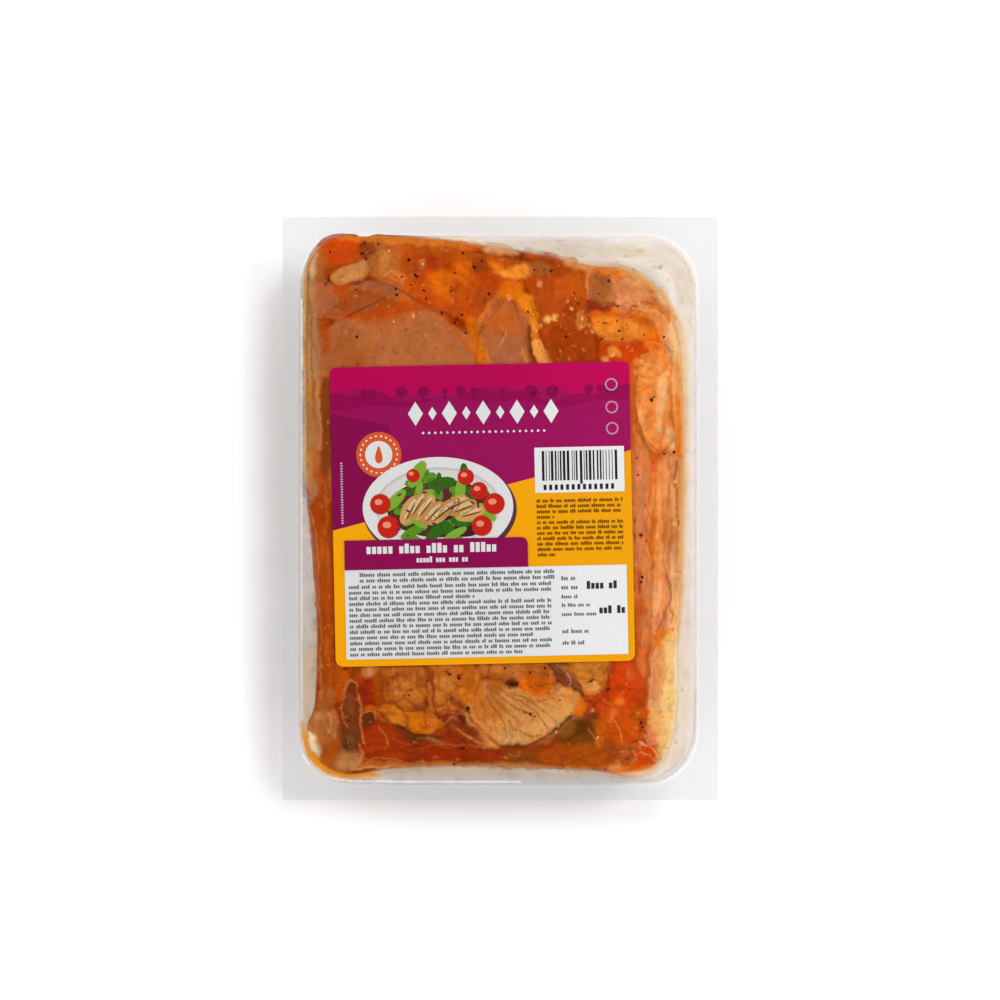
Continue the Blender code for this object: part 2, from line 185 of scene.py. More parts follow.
def node_material(name):
    """An empty node material and a function that adds a node with its inputs set."""
    made = bpy.data.materials.new(name)
    made.use_nodes = True
    tree = made.node_tree
    tree.nodes.clear()

    def add(kind, inputs=None, **settings):
        node = tree.nodes.new(kind)
        for key, value in settings.items():
            setattr(node, key, value)
        for key, value in (inputs or {}).items():
            if isinstance(value, bpy.types.NodeSocket):
                tree.links.new(value, node.inputs[key])
            else:
                node.inputs[key].default_value = value
        return node

    return made, add


def noise_factor(add, place, scale, detail, low, high, spread=(0.3, 0.7), roughness=0.5):
    """Noise spread over the range from low to high."""
    noise = add("ShaderNodeTexNoise", {
        "Vector": place, "Scale": scale, "Detail": detail, "Roughness": roughness})
    ranged = add("ShaderNodeMapRange", {"Value": noise.outputs["Fac"], "From Min": spread[0],
                                        "From Max": spread[1], "To Min": low, "To Max": high})
    return ranged.outputs["Result"]


def noise_relief(add, place, scale, detail, strength, distance=0.001):
    """A bumpy normal from noise."""
    noise = add("ShaderNodeTexNoise", {"Vector": place, "Scale": scale, "Detail": detail})
    bump = add("ShaderNodeBump", {"Height": noise.outputs["Fac"], "Strength": strength, "Distance": distance})
    return bump.outputs["Normal"]


def scaled_paint(add, factor):
    """The painted colour, made darker or lighter by a factor."""
    paint = add("ShaderNodeAttribute", attribute_name="paint")
    scaled = add("ShaderNodeVectorMath", {0: paint.outputs["Color"], "Scale": factor}, operation="SCALE")
    return scaled.outputs["Vector"]


def food_material(name, roughness, subsurface, bump):
    """Wet food: the painted colour with fine variation, and a fine bumpy gloss."""
    made, add = node_material(name)
    place = add("ShaderNodeTexCoord").outputs["Object"]
    light = noise_factor(add, place, 1100.0, 3.0, 0.95, 1.05, roughness=0.6)
    wet = noise_factor(add, place, 220.0, 2.0, roughness - 0.08, roughness + 0.12, spread=(0.35, 0.65))
    shader = add("ShaderNodeBsdfPrincipled", {
        "Base Color": scaled_paint(add, light), "Roughness": wet, "Subsurface Weight": subsurface,
        "Subsurface Radius": (1.0, 0.35, 0.12), "Subsurface Scale": 0.0016, "Specular IOR Level": 0.06,
        "Normal": noise_relief(add, place, 1400.0, 3.0, bump, 0.0004)})
    add("ShaderNodeOutputMaterial", {"Surface": shader.outputs["BSDF"]})
    return made


# The sealed flange looks a little greyer than the open film; the seal starts this far past the mouth
SEAL_TINT = (0.895, 0.905, 0.91, 1.0)
SEAL_FROM = 0.2
SEAL_TO = 1.4
WHITE_LIGHT = (1, 1, 1, 1)


def seal_share(add, place):
    """0 over the pocket's mouth and 1 past its rounded edge."""
    corner = ((MOUTH_HALF[0] - MOUTH_CORNER) * MM, (MOUTH_HALF[1] - MOUTH_CORNER) * MM, 1.0)
    middle = (POCKET_AT[0] * MM, POCKET_AT[1] * MM, 0)
    steps = (("SUBTRACT", middle), ("ABSOLUTE", None), ("SUBTRACT", corner), ("MAXIMUM", (0, 0, 0)))
    for operation, other in steps:
        inputs = {0: place} if other is None else {0: place, 1: other}
        place = add("ShaderNodeVectorMath", inputs, operation=operation).outputs["Vector"]
    far = add("ShaderNodeVectorMath", {0: place}, operation="LENGTH")
    share = add("ShaderNodeMapRange", {
        "Value": far.outputs["Value"], "From Min": (MOUTH_CORNER + SEAL_FROM) * MM,
        "From Max": (MOUTH_CORNER + SEAL_TO) * MM, "To Min": 0.0, "To Max": 1.0})
    return share.outputs["Result"]


def clear_material(name, tint, gloss, edge, roughness, ripple, bump, milk, sealed=False):
    """Thin clear plastic: see-through, with a gloss that grows towards grazing angles.

    It is a little milky, or only so on the flange if it is sealed there.
    """
    made, add = node_material(name)
    place = add("ShaderNodeTexCoord").outputs["Object"]
    relief = noise_relief(add, place, ripple, 2.0, bump)
    facing = add("ShaderNodeLayerWeight", {"Blend": 0.5, "Normal": relief})
    power = add("ShaderNodeMath", {0: facing.outputs["Facing"], 1: 4.0}, operation="POWER")
    share = add("ShaderNodeMath", {0: power.outputs["Value"], 1: edge, 2: gloss}, operation="MULTIPLY_ADD",
                use_clamp=True)
    colour = (*tint, 1.0)
    if sealed:
        seal = seal_share(add, place)
        shade = add("ShaderNodeMix", {"Factor": seal, "A": colour, "B": SEAL_TINT}, data_type="RGBA")
        colour = shade.outputs["Result"]
        milk = add("ShaderNodeMath", {0: seal, 1: milk}, operation="MULTIPLY").outputs["Value"]
    through = add("ShaderNodeBsdfTransparent", {"Color": colour})
    haze = add("ShaderNodeBsdfDiffuse", {"Color": WHITE_LIGHT})
    clear = add("ShaderNodeMixShader", {"Fac": milk, 1: through.outputs["BSDF"], 2: haze.outputs["BSDF"]})
    shine = add("ShaderNodeBsdfGlossy", {"Color": WHITE_LIGHT, "Roughness": roughness, "Normal": relief})
    both = add("ShaderNodeMixShader", {
        "Fac": share.outputs["Value"], 1: clear.outputs["Shader"], 2: shine.outputs["BSDF"]})
    add("ShaderNodeOutputMaterial", {"Surface": both.outputs["Shader"]})
    return made


def smear_and_highlight_material(name):
    """Oil, thin sauce and painted highlights on the plastic: the painted colour, as solid as the cover value
    says.
    """
    made, add = node_material(name)
    place = add("ShaderNodeTexCoord").outputs["Object"]
    paint = add("ShaderNodeAttribute", attribute_name="paint").outputs["Color"]
    cover = add("ShaderNodeAttribute", attribute_name="cover").outputs["Fac"]
    vary = noise_factor(add, place, 180.0, 4.0, 0.75, 1.2)
    share = add("ShaderNodeMath", {0: cover, 1: vary}, operation="MULTIPLY", use_clamp=True)
    front = add("ShaderNodeBsdfDiffuse", {"Color": paint})
    behind = add("ShaderNodeBsdfTranslucent", {"Color": paint})
    body = add("ShaderNodeMixShader", {"Fac": 0.25, 1: front.outputs["BSDF"], 2: behind.outputs["BSDF"]})
    clear = add("ShaderNodeBsdfTransparent", {"Color": WHITE_LIGHT})
    both = add("ShaderNodeMixShader", {
        "Fac": share.outputs["Value"], 1: clear.outputs["BSDF"], 2: body.outputs["Shader"]})
    add("ShaderNodeOutputMaterial", {"Surface": both.outputs["Shader"]})
    return made


def print_material(name):
    """The label's print: painted fields of colour under a smooth gloss, with a faint paper grain."""
    made, add = node_material(name)
    place = add("ShaderNodeTexCoord").outputs["Object"]
    grain = noise_factor(add, place, 2500.0, 2.0, 0.96, 1.04)
    shader = add("ShaderNodeBsdfPrincipled", {
        "Base Color": scaled_paint(add, grain), "Roughness": 0.3, "Specular IOR Level": 0.15,
        "Normal": noise_relief(add, place, 35.0, 1.0, 0.15)})
    add("ShaderNodeOutputMaterial", {"Surface": shader.outputs["BSDF"]})
    return made


def floor_material():
    """The studio's matt white floor."""
    made, add = node_material("studio_floor")
    shader = add("ShaderNodeBsdfDiffuse", {"Color": (0.9, 0.9, 0.9, 1.0)})
    add("ShaderNodeOutputMaterial", {"Surface": shader.outputs["BSDF"]})
    return made


MEAT = food_material("wet_meat", roughness=0.36, subsurface=0.10, bump=0.12)
SAUCE = food_material("wet_sauce", roughness=0.30, subsurface=0.08, bump=0.10)
FLAKE = food_material("pepper_flake", roughness=0.5, subsurface=0.0, bump=0.6)
SMEAR_AND_HIGHLIGHTS = smear_and_highlight_material("oil_smear_and_lip_highlights")
TRAY_CLEAR = clear_material("clear_tray", tint=(0.98, 0.981, 0.983), gloss=0.006, edge=0.14, roughness=0.07,
                            ripple=60.0, bump=0.05, milk=0.045)
FILM_CLEAR = clear_material("clear_film", tint=(0.994, 0.994, 0.995), gloss=0.006, edge=0.3, roughness=0.05,
                            ripple=45.0, bump=0.12, milk=0.075, sealed=True)
PRINT = print_material("label_print_gloss")

# The food's painted top

# The studio's light and the film change a colour. These take it back to what the photograph shows
FOOD_LIGHT = 0.79
FOOD_TINT = np.array((1.0, 1.0, 0.9))
FOOD_SHEEN = 0.004
DARKEST = 0.0008


def tone(*srgb):
    """A food colour as the photograph shows it, in linear light."""
    return np.clip(linear(*srgb) * FOOD_LIGHT * FOOD_TINT - FOOD_SHEEN, DARKEST, None)


SAUCE_DEEP = tone(150, 50, 5)

# Each piece's base colour, how strongly its edge shows, its relief in millimetres, and its grain.
# The grain is none, or lobes with a size, a depth and the strength of their painted shading, or straight
# fibres at an angle with a pitch and a depth, or a fan of fibres out from a hub with a pitch in degrees and a
# depth
LOOKS = {
    "corner_steak_top_left": ((202, 78, 12), 0.5, 0.10, None),
    "pale_fat_left": ((206, 130, 74), 0.3, 0.10, None),
    "trimming_left": ((176, 98, 62), 0.4, 0.10, None),
    "upper_left_steak": ((182, 100, 56), 0.2, 0.05, None),
    "top_steak": ((192, 78, 8), 0.3, 0.25, ("lobes", 6.0, 0.15, 0.4)),
    "tongue_steak": ((187, 100, 54), 0.5, 0.05, None),
    "fat_strand": ((226, 116, 26), 0.4, 0.25, None),
    "top_middle_steak": ((182, 74, 12), 0.4, 0.12, ("lobes", 6.0, 0.08, 0.3)),
    "cut_end_top_right": ((200, 116, 62), 0.6, 0.25, ("lobes", 3.4, 0.12, 0.5)),
    "rim_steak_top_right": ((226, 130, 60), 0.3, 0.20, None),
    "yellow_fat_top_right": ((230, 126, 40), 0.4, 0.15, ("lobes", 5.0, 0.15, 0.35)),
    "sauced_steak_right": ((206, 74, 6), 0.3, 0.20, None),
    "fillet_right": ((238, 138, 62), 0.7, 0.30, ("lobes", 6.0, 0.2, 0.4)),
    "rim_strip_right": ((236, 126, 38), 0.2, 0.10, ("line", 90, 2.6, 0.04)),
    "inner_strip_right": ((214, 118, 62), 0.3, 0.20, ("line", 88, 3.0, 0.10)),
    "outer_strip_right": ((222, 138, 82), 0.4, 0.20, ("line", 91, 2.4, 0.14)),
    "low_strip_right": ((226, 138, 80), 0.5, 0.15, ("line", 86, 2.6, 0.10)),
    "sauced_steak_low_right": ((206, 72, 7), 0.4, 0.25, ("lobes", 5.0, 0.15, 0.4)),
    "pink_trimming": ((234, 158, 96), 0.2, 0.15, None),
    "corner_steak_low_right": ((200, 82, 26), 0.5, 0.30, ("lobes", 4.4, 0.2, 0.6)),
    "fan_steak": ((210, 140, 78), 1.0, 0.20, ("fan", (-4.0, -46.0), 6.0, 0.16)),
    "left_lump": ((180, 98, 40), 0.7, 0.20, ("lobes", 5.4, 0.3, 0.75)),
    "fat_lobes": ((200, 110, 30), 0.8, 0.25, ("lobes", 4.6, 0.3, 0.75)),
    "middle_lump": ((196, 108, 42), 0.7, 0.20, ("lobes", 5.0, 0.3, 0.75)),
    "right_lump": ((190, 104, 46), 0.6, 0.25, ("lobes", 4.8, 0.3, 0.75)),
    "tendon": ((138, 74, 42), 0.9, 0.10, ("line", -42, 1.4, 0.10)),
    "tan_piece": ((204, 120, 46), 0.7, 0.20, ("lobes", 2.8, 0.2, 0.6)),
    "skin_wedge": ((120, 54, 24), 0.8, 0.25, None),
    "round_trimming": ((106, 50, 28), 0.8, 0.10, None),
    "corner_steak_low_left": ((168, 84, 32), 0.4, 0.15, None),
    "sauced_steak_low_left": ((138, 47, 3), 0.5, 0.15, ("line", 4, 6.0, 0.06)),
    "sauced_steak_low_middle": ((138, 52, 10), 0.5, 0.15, ("line", 0, 5.0, 0.06)),
    "skin_flap": ((128, 64, 14), 0.3, 0.20, ("line", 30, 3.0, 0.10)),
    "left_steak": ((156, 66, 18), 0.3, 0.10, ("line", 88, 3.0, 0.05)),
    "middle_steak": ((178, 104, 66), 0.3, 0.10, None),
    "low_middle_steak": ((196, 112, 46), 0.5, 0.15, ("line", 60, 4.0, 0.10)),
    "right_steak": ((208, 98, 34), 0.3, 0.15, ("line", 88, 4.0, 0.05)),
}

# Soft-edged shapes laid one over another: outline in the photograph's pixels, colour, strength and softness
WASHES = {
    "corner ochre side": (((308, 286), (311, 264), (320, 250), (328, 254), (326, 270), (320, 288)),
        (182, 104, 50), 0.9, 4),
    "corner red sauce": (((322, 256), (334, 243), (356, 240), (362, 247), (352, 258), (335, 262)),
        (203, 72, 6), 0.9, 4),
    "sauce under corner": (((322, 264), (345, 261), (358, 259), (362, 264), (345, 268), (330, 272)),
        (176, 76, 22), 0.7, 2.5),
    "brown behind pepper": (((370, 243), (392, 241), (402, 252), (398, 268), (386, 280), (372, 272),
        (364, 262)), (184, 108, 52), 0.9, 4),
    "light lumps": (((380, 252), (388, 250), (390, 262), (384, 270), (378, 262)), (210, 128, 66), 0.7, 2.5),
    "pale fat": (((332, 277), (338, 269), (352, 264), (366, 261), (366, 269), (358, 277), (347, 283),
        (338, 282)), (208, 138, 80), 1.0, 2.2),
    "tan ridge": (((370, 272), (384, 266), (398, 270), (405, 280), (396, 286), (380, 280)), (204, 118, 58),
        0.8, 3),
    "orange under fat": (((332, 282), (345, 285), (350, 294), (344, 302), (336, 296), (330, 288)),
        (198, 84, 18), 0.9, 3),
    "pink brown wedge": (((350, 283), (366, 280), (384, 283), (398, 288), (400, 297), (388, 295),
        (366, 288)), (166, 92, 64), 0.9, 2.2),
    "grey bit": (((393, 284), (400, 284), (400, 296), (394, 296)), (150, 96, 72), 0.6, 2),
    "trimming": (((317, 287), (327, 283), (333, 294), (341, 304), (339, 314), (328, 318), (317, 315),
        (314, 300)), (177, 101, 66), 1.0, 2.2),
    "brown red field": (((338, 304), (350, 291), (372, 290), (394, 297), (404, 304), (392, 314), (372, 320),
        (350, 318)), (168, 74, 28), 0.95, 4),
    "violet middle": (((346, 304), (360, 294), (376, 300), (374, 312), (356, 314)), (166, 82, 46), 0.7, 4),
    "orange above steak": (((318, 326), (330, 317), (352, 320), (385, 320), (410, 312), (428, 303),
        (424, 296), (400, 302), (380, 312), (350, 315), (330, 313)), (190, 76, 14), 0.85, 3.5),
    "left orange seam": (((320, 322), (330, 322), (329, 345), (330, 368), (322, 368), (321, 345)),
        (178, 72, 16), 0.9, 3),
    "steak face": (((332, 332), (346, 323), (370, 326), (400, 322), (424, 311), (438, 311), (456, 335),
        (482, 368), (480, 374), (326, 374), (330, 350)), (184, 106, 62), 1.0, 6),
    "steak left shade": (((332, 334), (345, 325), (358, 330), (352, 346), (336, 356)), (168, 90, 48), 0.7,
        6),
    "steak low shade": (((328, 352), (345, 346), (362, 354), (366, 372), (328, 372)), (166, 86, 44), 0.7,
        6),
    "ochre edge": (((306, 290), (311, 290), (313, 330), (314, 370), (307, 370), (306, 330)), (180, 124, 58),
        0.9, 2),
    "brown edge": (((314, 318), (320, 322), (321, 345), (321, 372), (315, 372), (314, 345)), (160, 96, 56),
        0.8, 2.5),
    "top bright rim": (((335, 239), (360, 236), (400, 238), (440, 241), (470, 247), (470, 250), (430, 246),
        (390, 243), (350, 241)), (220, 122, 48), 0.8, 2),
    "top brown rim": (((380, 244), (420, 246), (470, 251), (520, 258), (570, 266), (585, 270), (560, 272),
        (500, 264), (440, 255), (390, 250)), (182, 88, 30), 0.6, 3),
    "top dark line": (((470, 250), (505, 253), (545, 260), (575, 266), (545, 264), (500, 257)),
        (130, 56, 16), 0.9, 1.8),
    "deep red middle": (((425, 256), (450, 262), (470, 270), (455, 274), (432, 268), (420, 262)),
        (190, 66, 5), 0.8, 4),
    "yellow blob": (((428, 276), (440, 268), (454, 272), (452, 286), (446, 298), (434, 294)), (224, 108, 6),
        0.95, 5),
    "yellow blob right": (((456, 264), (470, 262), (472, 276), (462, 284), (456, 276)), (222, 108, 14), 0.8,
        4),
    "dull hollow": (((404, 262), (416, 262), (418, 272), (410, 278), (404, 272)), (168, 76, 22), 0.7, 3),
    "orange left of blob": (((396, 262), (404, 280), (410, 300), (400, 302), (394, 285)), (208, 100, 24),
        0.6, 4),
    "pale fleck tall": (((419, 260), (424, 261), (423, 270), (420, 270)), (234, 150, 84), 0.8, 1.3),
    "red lower": (((416, 298), (440, 296), (446, 306), (430, 312), (414, 308)), (197, 76, 8), 0.7, 4),
    "dusky pepper ground": (((474, 257), (486, 256), (490, 270), (482, 276), (472, 268)), (146, 66, 22),
        0.7, 3),
    "dusky right": (((478, 288), (492, 284), (492, 298), (482, 308), (474, 300)), (170, 78, 30), 0.6, 4),
    "orange down the seam": (((466, 322), (476, 318), (482, 340), (492, 368), (484, 372), (474, 350)),
        (216, 110, 22), 0.9, 3),
    "bright seam": (((476, 326), (482, 312), (492, 299), (500, 291), (503, 295), (494, 304), (486, 314),
        (481, 328)), (224, 128, 50), 0.85, 2),
    "red above seam": (((480, 272), (498, 276), (502, 290), (490, 292), (480, 284)), (196, 72, 6), 0.8, 3),
    "tongue face": (((481, 334), (486, 314), (496, 302), (508, 301), (520, 309), (529, 324), (528, 372),
        (494, 372), (486, 350)), (187, 102, 56), 1.0, 4),
    "tongue warm": (((488, 316), (498, 306), (510, 308), (518, 320), (512, 336), (496, 334), (486, 328)),
        (204, 98, 32), 0.8, 5),
    "tongue violet": (((494, 340), (512, 338), (522, 348), (524, 372), (496, 372)), (178, 104, 72), 0.8, 5),
    "fat bar": (((493, 267), (506, 269), (522, 265), (533, 268), (532, 275), (516, 278), (500, 275)),
        (240, 148, 56), 0.95, 2),
    "fat bar glow": (((488, 262), (500, 262), (504, 270), (496, 274)), (228, 122, 30), 0.7, 2.5),
    "fat middle": (((500, 286), (512, 280), (522, 280), (524, 292), (512, 300), (500, 296)), (230, 116, 18),
        0.9, 3.5),
    "fat knob": (((518, 298), (526, 294), (533, 297), (536, 308), (541, 322), (542, 330), (534, 330),
        (530, 318), (524, 310)), (240, 136, 28), 1.0, 2),
    "fat knob low": (((530, 320), (541, 322), (542, 330), (532, 332)), (246, 150, 50), 0.7, 1.6),
    "fat finger": (((530, 345), (538, 341), (547, 350), (554, 366), (554, 374), (542, 374), (535, 358)),
        (244, 158, 80), 1.0, 2),
    "brown by finger": (((526, 322), (532, 336), (532, 352), (538, 372), (530, 372), (528, 350)),
        (150, 70, 34), 0.85, 1.8),
    "middle orange": (((556, 280), (572, 268), (588, 270), (588, 296), (572, 304), (558, 298)),
        (202, 90, 16), 0.85, 4),
    "middle dark top": (((552, 264), (566, 264), (570, 272), (560, 278), (550, 274)), (168, 64, 14), 0.7,
        3),
    "middle speckled": (((530, 262), (548, 262), (552, 272), (540, 277), (530, 274)), (164, 92, 44), 0.75,
        3),
    "middle violet": (((536, 298), (556, 296), (568, 306), (560, 322), (545, 332), (538, 318)),
        (182, 78, 26), 0.7, 6),
    "middle low": (((546, 336), (566, 326), (588, 330), (600, 345), (602, 372), (556, 372)), (166, 64, 12),
        0.9, 5),
    "dark seam right": (((586, 303), (606, 305), (612, 311), (600, 312), (586, 310)), (150, 48, 5), 0.95,
        2.5),
    "capsule ring": (((577, 314), (582, 311), (586, 316), (586, 326), (582, 331), (577, 327)),
        (228, 142, 74), 0.95, 1.4),
    "capsule core": (((579, 317), (583, 316), (584, 322), (580, 324)), (200, 112, 50), 0.8, 1.2),
    "cut olive": (((590, 276), (606, 272), (612, 284), (608, 298), (594, 300), (590, 288)), (170, 94, 44),
        0.9, 3),
    "cut pink": (((612, 280), (624, 278), (630, 288), (626, 300), (616, 296)), (206, 124, 82), 0.9, 3),
    "cut orange top": (((590, 269), (612, 267), (626, 273), (620, 279), (600, 273)), (226, 120, 36), 0.85,
        2),
    "pink lumps": (((616, 300), (626, 295), (634, 300), (630, 308), (618, 306)), (228, 144, 106), 0.9, 2),
    "pink round": (((633, 296), (637, 288), (645, 289), (648, 297), (644, 305), (636, 304)),
        (227, 146, 108), 1.0, 1.8),
    "rim brown": (((645, 284), (656, 288), (668, 302), (672, 314), (664, 318), (654, 308), (648, 298)),
        (206, 108, 48), 0.8, 3),
    "rim light edge": (((632, 277), (650, 284), (664, 298), (673, 312), (670, 314), (660, 302), (646, 290),
        (632, 281)), (222, 140, 84), 0.7, 1.8),
    "pale pink bit": (((640, 306), (646, 303), (651, 308), (646, 311)), (242, 166, 118), 0.9, 1.3),
    "tan seam lump": (((614, 309), (630, 308), (636, 312), (622, 315)), (206, 128, 70), 0.8, 1.6),
    "orange over fat": (((590, 312), (620, 311), (650, 318), (658, 326), (640, 323), (610, 317),
        (592, 318)), (216, 96, 14), 0.85, 2.5),
    "yellow fat": (((595, 320), (612, 316), (636, 322), (648, 330), (644, 340), (620, 342), (602, 340)),
        (232, 134, 46), 0.95, 3),
    "salmon rim": (((654, 314), (664, 316), (672, 326), (674, 346), (668, 354), (660, 340), (656, 326)),
        (242, 152, 88), 0.95, 3),
    "grey salmon": (((664, 334), (671, 334), (673, 350), (667, 354)), (224, 154, 116), 0.8, 2.5),
    "orange between": (((646, 326), (658, 330), (664, 346), (654, 350), (642, 342)), (230, 112, 24), 0.8,
        3.5),
    "red sauce pool": (((600, 346), (620, 341), (640, 344), (650, 350), (640, 360), (612, 372), (602, 362)),
        (206, 70, 3), 0.95, 3.5),
    "bit by label": (((608, 350), (614, 347), (622, 354), (618, 358), (609, 357)), (240, 140, 58), 0.95,
        1.5),
    "bit low": (((601, 358), (606, 356), (608, 363), (603, 366)), (244, 160, 92), 0.9, 1.3),
    "lumps over fillet": (((634, 362), (644, 356), (658, 348), (666, 356), (660, 370), (642, 372)),
        (236, 136, 54), 0.9, 3),
    "seam by label": (((630, 366), (636, 372), (637, 400), (638, 440), (632, 450), (630, 400)),
        (212, 100, 36), 0.9, 2),
    "fillet face": (((640, 368), (656, 362), (668, 372), (670, 400), (667, 430), (660, 450), (650, 448),
        (641, 430), (637, 400)), (240, 144, 68), 0.9, 3),
    "fillet warm": (((646, 390), (656, 388), (656, 420), (650, 440), (644, 420)), (234, 128, 50), 0.7, 4),
    "orange right": (((670, 366), (677, 370), (682, 400), (682, 450), (676, 450), (674, 430), (670, 400)),
        (238, 126, 30), 0.9, 2.5),
    "pale streak": (((661, 374), (668, 373), (667, 392), (664, 412), (661, 432), (656, 430), (657, 405),
        (659, 388)), (250, 188, 138), 1.0, 1.8),
    "pale side": (((639, 408), (642, 406), (644, 418), (645, 430), (641, 428), (639, 418)), (247, 172, 112),
        0.9, 1.6),
    "pale low right": (((664, 430), (671, 426), (675, 438), (674, 448), (668, 443)), (247, 192, 142), 1.0,
        1.5),
    "deep orange tongue": (((651, 452), (664, 454), (664, 468), (658, 488), (650, 488), (653, 470)),
        (222, 96, 5), 0.95, 2.5),
    "left salmon": (((633, 455), (650, 456), (648, 490), (645, 530), (634, 530)), (216, 124, 74), 0.9, 3),
    "middle peach": (((650, 490), (664, 486), (665, 530), (664, 560), (656, 575), (650, 540)),
        (234, 146, 80), 0.9, 3),
    "peach line": (((662, 505), (667, 505), (668, 540), (667, 575), (663, 560), (662, 530)),
        (240, 164, 100), 0.8, 1.5),
    "right brown": (((666, 456), (678, 456), (677, 490), (676, 520), (668, 520), (666, 490)),
        (214, 132, 80), 0.8, 3),
    "orange patch": (((650, 520), (658, 516), (656, 540), (652, 560), (648, 545)), (228, 124, 34), 0.8,
        2.5),
    "dark strand": (((669, 522), (676, 516), (677, 540), (673, 560), (671, 578), (667, 574), (669, 548)),
        (186, 104, 60), 0.8, 1.8),
    "grey pink in strand": (((672, 546), (676, 545), (676, 572), (671, 580), (671, 560)), (216, 152, 114),
        0.85, 1.6),
    "brown left": (((634, 520), (643, 530), (646, 560), (642, 592), (636, 600), (634, 560)), (200, 104, 50),
        0.85, 3),
    "red streak": (((639, 572), (642, 574), (642, 590), (639, 592)), (146, 48, 20), 0.9, 1.6),
    "lower peach": (((646, 575), (658, 565), (664, 580), (662, 610), (650, 622), (645, 600)),
        (228, 138, 80), 0.85, 3),
    "pale core": (((655, 585), (660, 580), (661, 605), (655, 618), (652, 605)), (242, 166, 114), 0.8, 2),
    "tan pink fork": (((651, 620), (660, 612), (668, 616), (666, 629), (656, 632)), (206, 124, 84), 0.95,
        2),
    "orange fork": (((668, 580), (676, 576), (679, 600), (677, 625), (671, 622), (672, 600)),
        (218, 116, 40), 0.8, 2),
    "orange lap": (((650, 634), (658, 630), (668, 632), (662, 644), (652, 652)), (230, 122, 28), 0.95, 2),
    "lower left salmon": (((636, 640), (648, 630), (648, 660), (645, 690), (638, 680)), (222, 112, 54),
        0.85, 2.5),
    "brown beside label": (((634, 604), (642, 604), (642, 640), (637, 660), (634, 640)), (196, 86, 24),
        0.85, 2),
    "strip face": (((651, 654), (662, 648), (663, 680), (659, 706), (650, 704), (650, 680)), (226, 142, 86),
        0.95, 2),
    "foam": (((664, 640), (674, 634), (677, 660), (675, 684), (668, 704), (662, 696), (664, 670)),
        (242, 178, 92), 0.95, 2.5),
    "cream low right": (((660, 704), (674, 690), (679, 715), (676, 740), (666, 758), (658, 745),
        (657, 720)), (240, 188, 122), 0.9, 5),
    "pink knot": (((646, 702), (656, 699), (658, 708), (650, 712)), (240, 162, 120), 0.85, 1.8),
    "strand pink left": (((636, 470), (642, 470), (643, 520), (641, 560), (637, 560)), (222, 138, 88), 0.7,
        2),
    "strand light": (((656, 500), (661, 500), (662, 540), (662, 575), (657, 570)), (244, 160, 94), 0.75,
        1.6),
    "strand brown": (((649, 500), (653, 500), (652, 540), (650, 572), (646, 560)), (196, 98, 38), 0.65,
        1.8),
    "strand brown right": (((665, 476), (669, 480), (668, 520), (666, 556), (663, 530)), (188, 92, 44),
        0.65, 1.6),
    "strand pink right": (((671, 470), (676, 476), (675, 512), (670, 512)), (226, 142, 96), 0.7, 2),
    "strand low dark": (((641, 596), (646, 604), (650, 634), (645, 646), (640, 620)), (186, 82, 26), 0.7,
        2.2),
    "strand low light": (((664, 584), (668, 586), (667, 606), (662, 616)), (238, 152, 96), 0.7, 1.8),
    # Peach washes over the fillet and the rim steak: partly the meat's colour, partly a painted sheen
    "peach and sheen over fillet": (((640, 368), (656, 360), (674, 366), (682, 400), (680, 440), (664, 452),
        (646, 446)), (248, 156, 88), 0.35, 5),
    "peach and sheen over rim": (((612, 282), (640, 284), (662, 300), (674, 320), (668, 330), (640, 312), (616, 306)),
        (236, 146, 88), 0.35, 5),
    "low cream": (((662, 650), (676, 640), (679, 700), (672, 745), (660, 750), (656, 700)), (248, 196, 132),
        0.5, 5),
    "sauce sheet red": (((614, 664), (634, 662), (646, 690), (645, 712), (630, 716), (612, 706),
        (606, 690)), (206, 68, 4), 0.9, 4),
    "sauce orange": (((600, 716), (618, 708), (634, 716), (638, 740), (612, 748), (598, 738)), (201, 80, 6),
        0.85, 4),
    "dusky in sheet": (((626, 668), (634, 666), (636, 676), (628, 678)), (210, 92, 52), 0.7, 2.5),
    "light in sheet": (((616, 700), (624, 698), (626, 704), (618, 706)), (238, 118, 40), 0.8, 2),
    "light in sheet two": (((609, 708), (616, 707), (617, 714), (611, 716)), (228, 110, 46), 0.8, 2),
    "olive shade": (((628, 716), (638, 700), (643, 708), (636, 722)), (172, 80, 14), 0.8, 2.5),
    "brown knots": (((634, 716), (644, 706), (649, 716), (646, 732), (638, 738), (633, 728)), (186, 86, 26),
        0.85, 2),
    "pink patch": (((644, 732), (650, 722), (655, 730), (657, 742), (649, 744)), (224, 126, 82), 0.95, 1.8),
    "orange patch low": (((650, 712), (660, 708), (662, 726), (657, 738), (654, 726)), (240, 152, 70), 0.8,
        2.5),
    "corner brown folds": (((612, 750), (624, 744), (636, 747), (638, 760), (622, 764)), (182, 94, 48),
        0.85, 2.5),
    "corner red": (((638, 750), (652, 748), (659, 760), (648, 768), (636, 764)), (207, 72, 8), 0.9, 3),
    "corner orange edge": (((600, 764), (630, 767), (654, 763), (644, 773), (622, 774)), (228, 122, 34),
        0.85, 2),
    "corner tan": (((607, 763), (616, 759), (620, 766), (612, 770)), (222, 154, 96), 0.85, 2),
    "bottom olive": (((505, 752), (520, 748), (545, 754), (552, 764), (515, 764)), (126, 66, 22), 0.85,
        3.5),
    "bottom red": (((420, 750), (450, 748), (500, 752), (500, 760), (440, 760)), (154, 46, 3), 0.7, 3),
    "bottom ochre lip": (((360, 762), (420, 762), (500, 762), (600, 766), (600, 770), (500, 768),
        (360, 770)), (176, 104, 50), 0.75, 2),
    "olive hollow": (((396, 724), (412, 730), (430, 735), (446, 736), (444, 742), (418, 741), (400, 734)),
        (98, 54, 14), 0.95, 2.5),
    "grey glint in hollow": (((424, 737), (440, 740), (452, 744), (440, 744), (426, 741)), (164, 110, 66),
        0.7, 1.5),
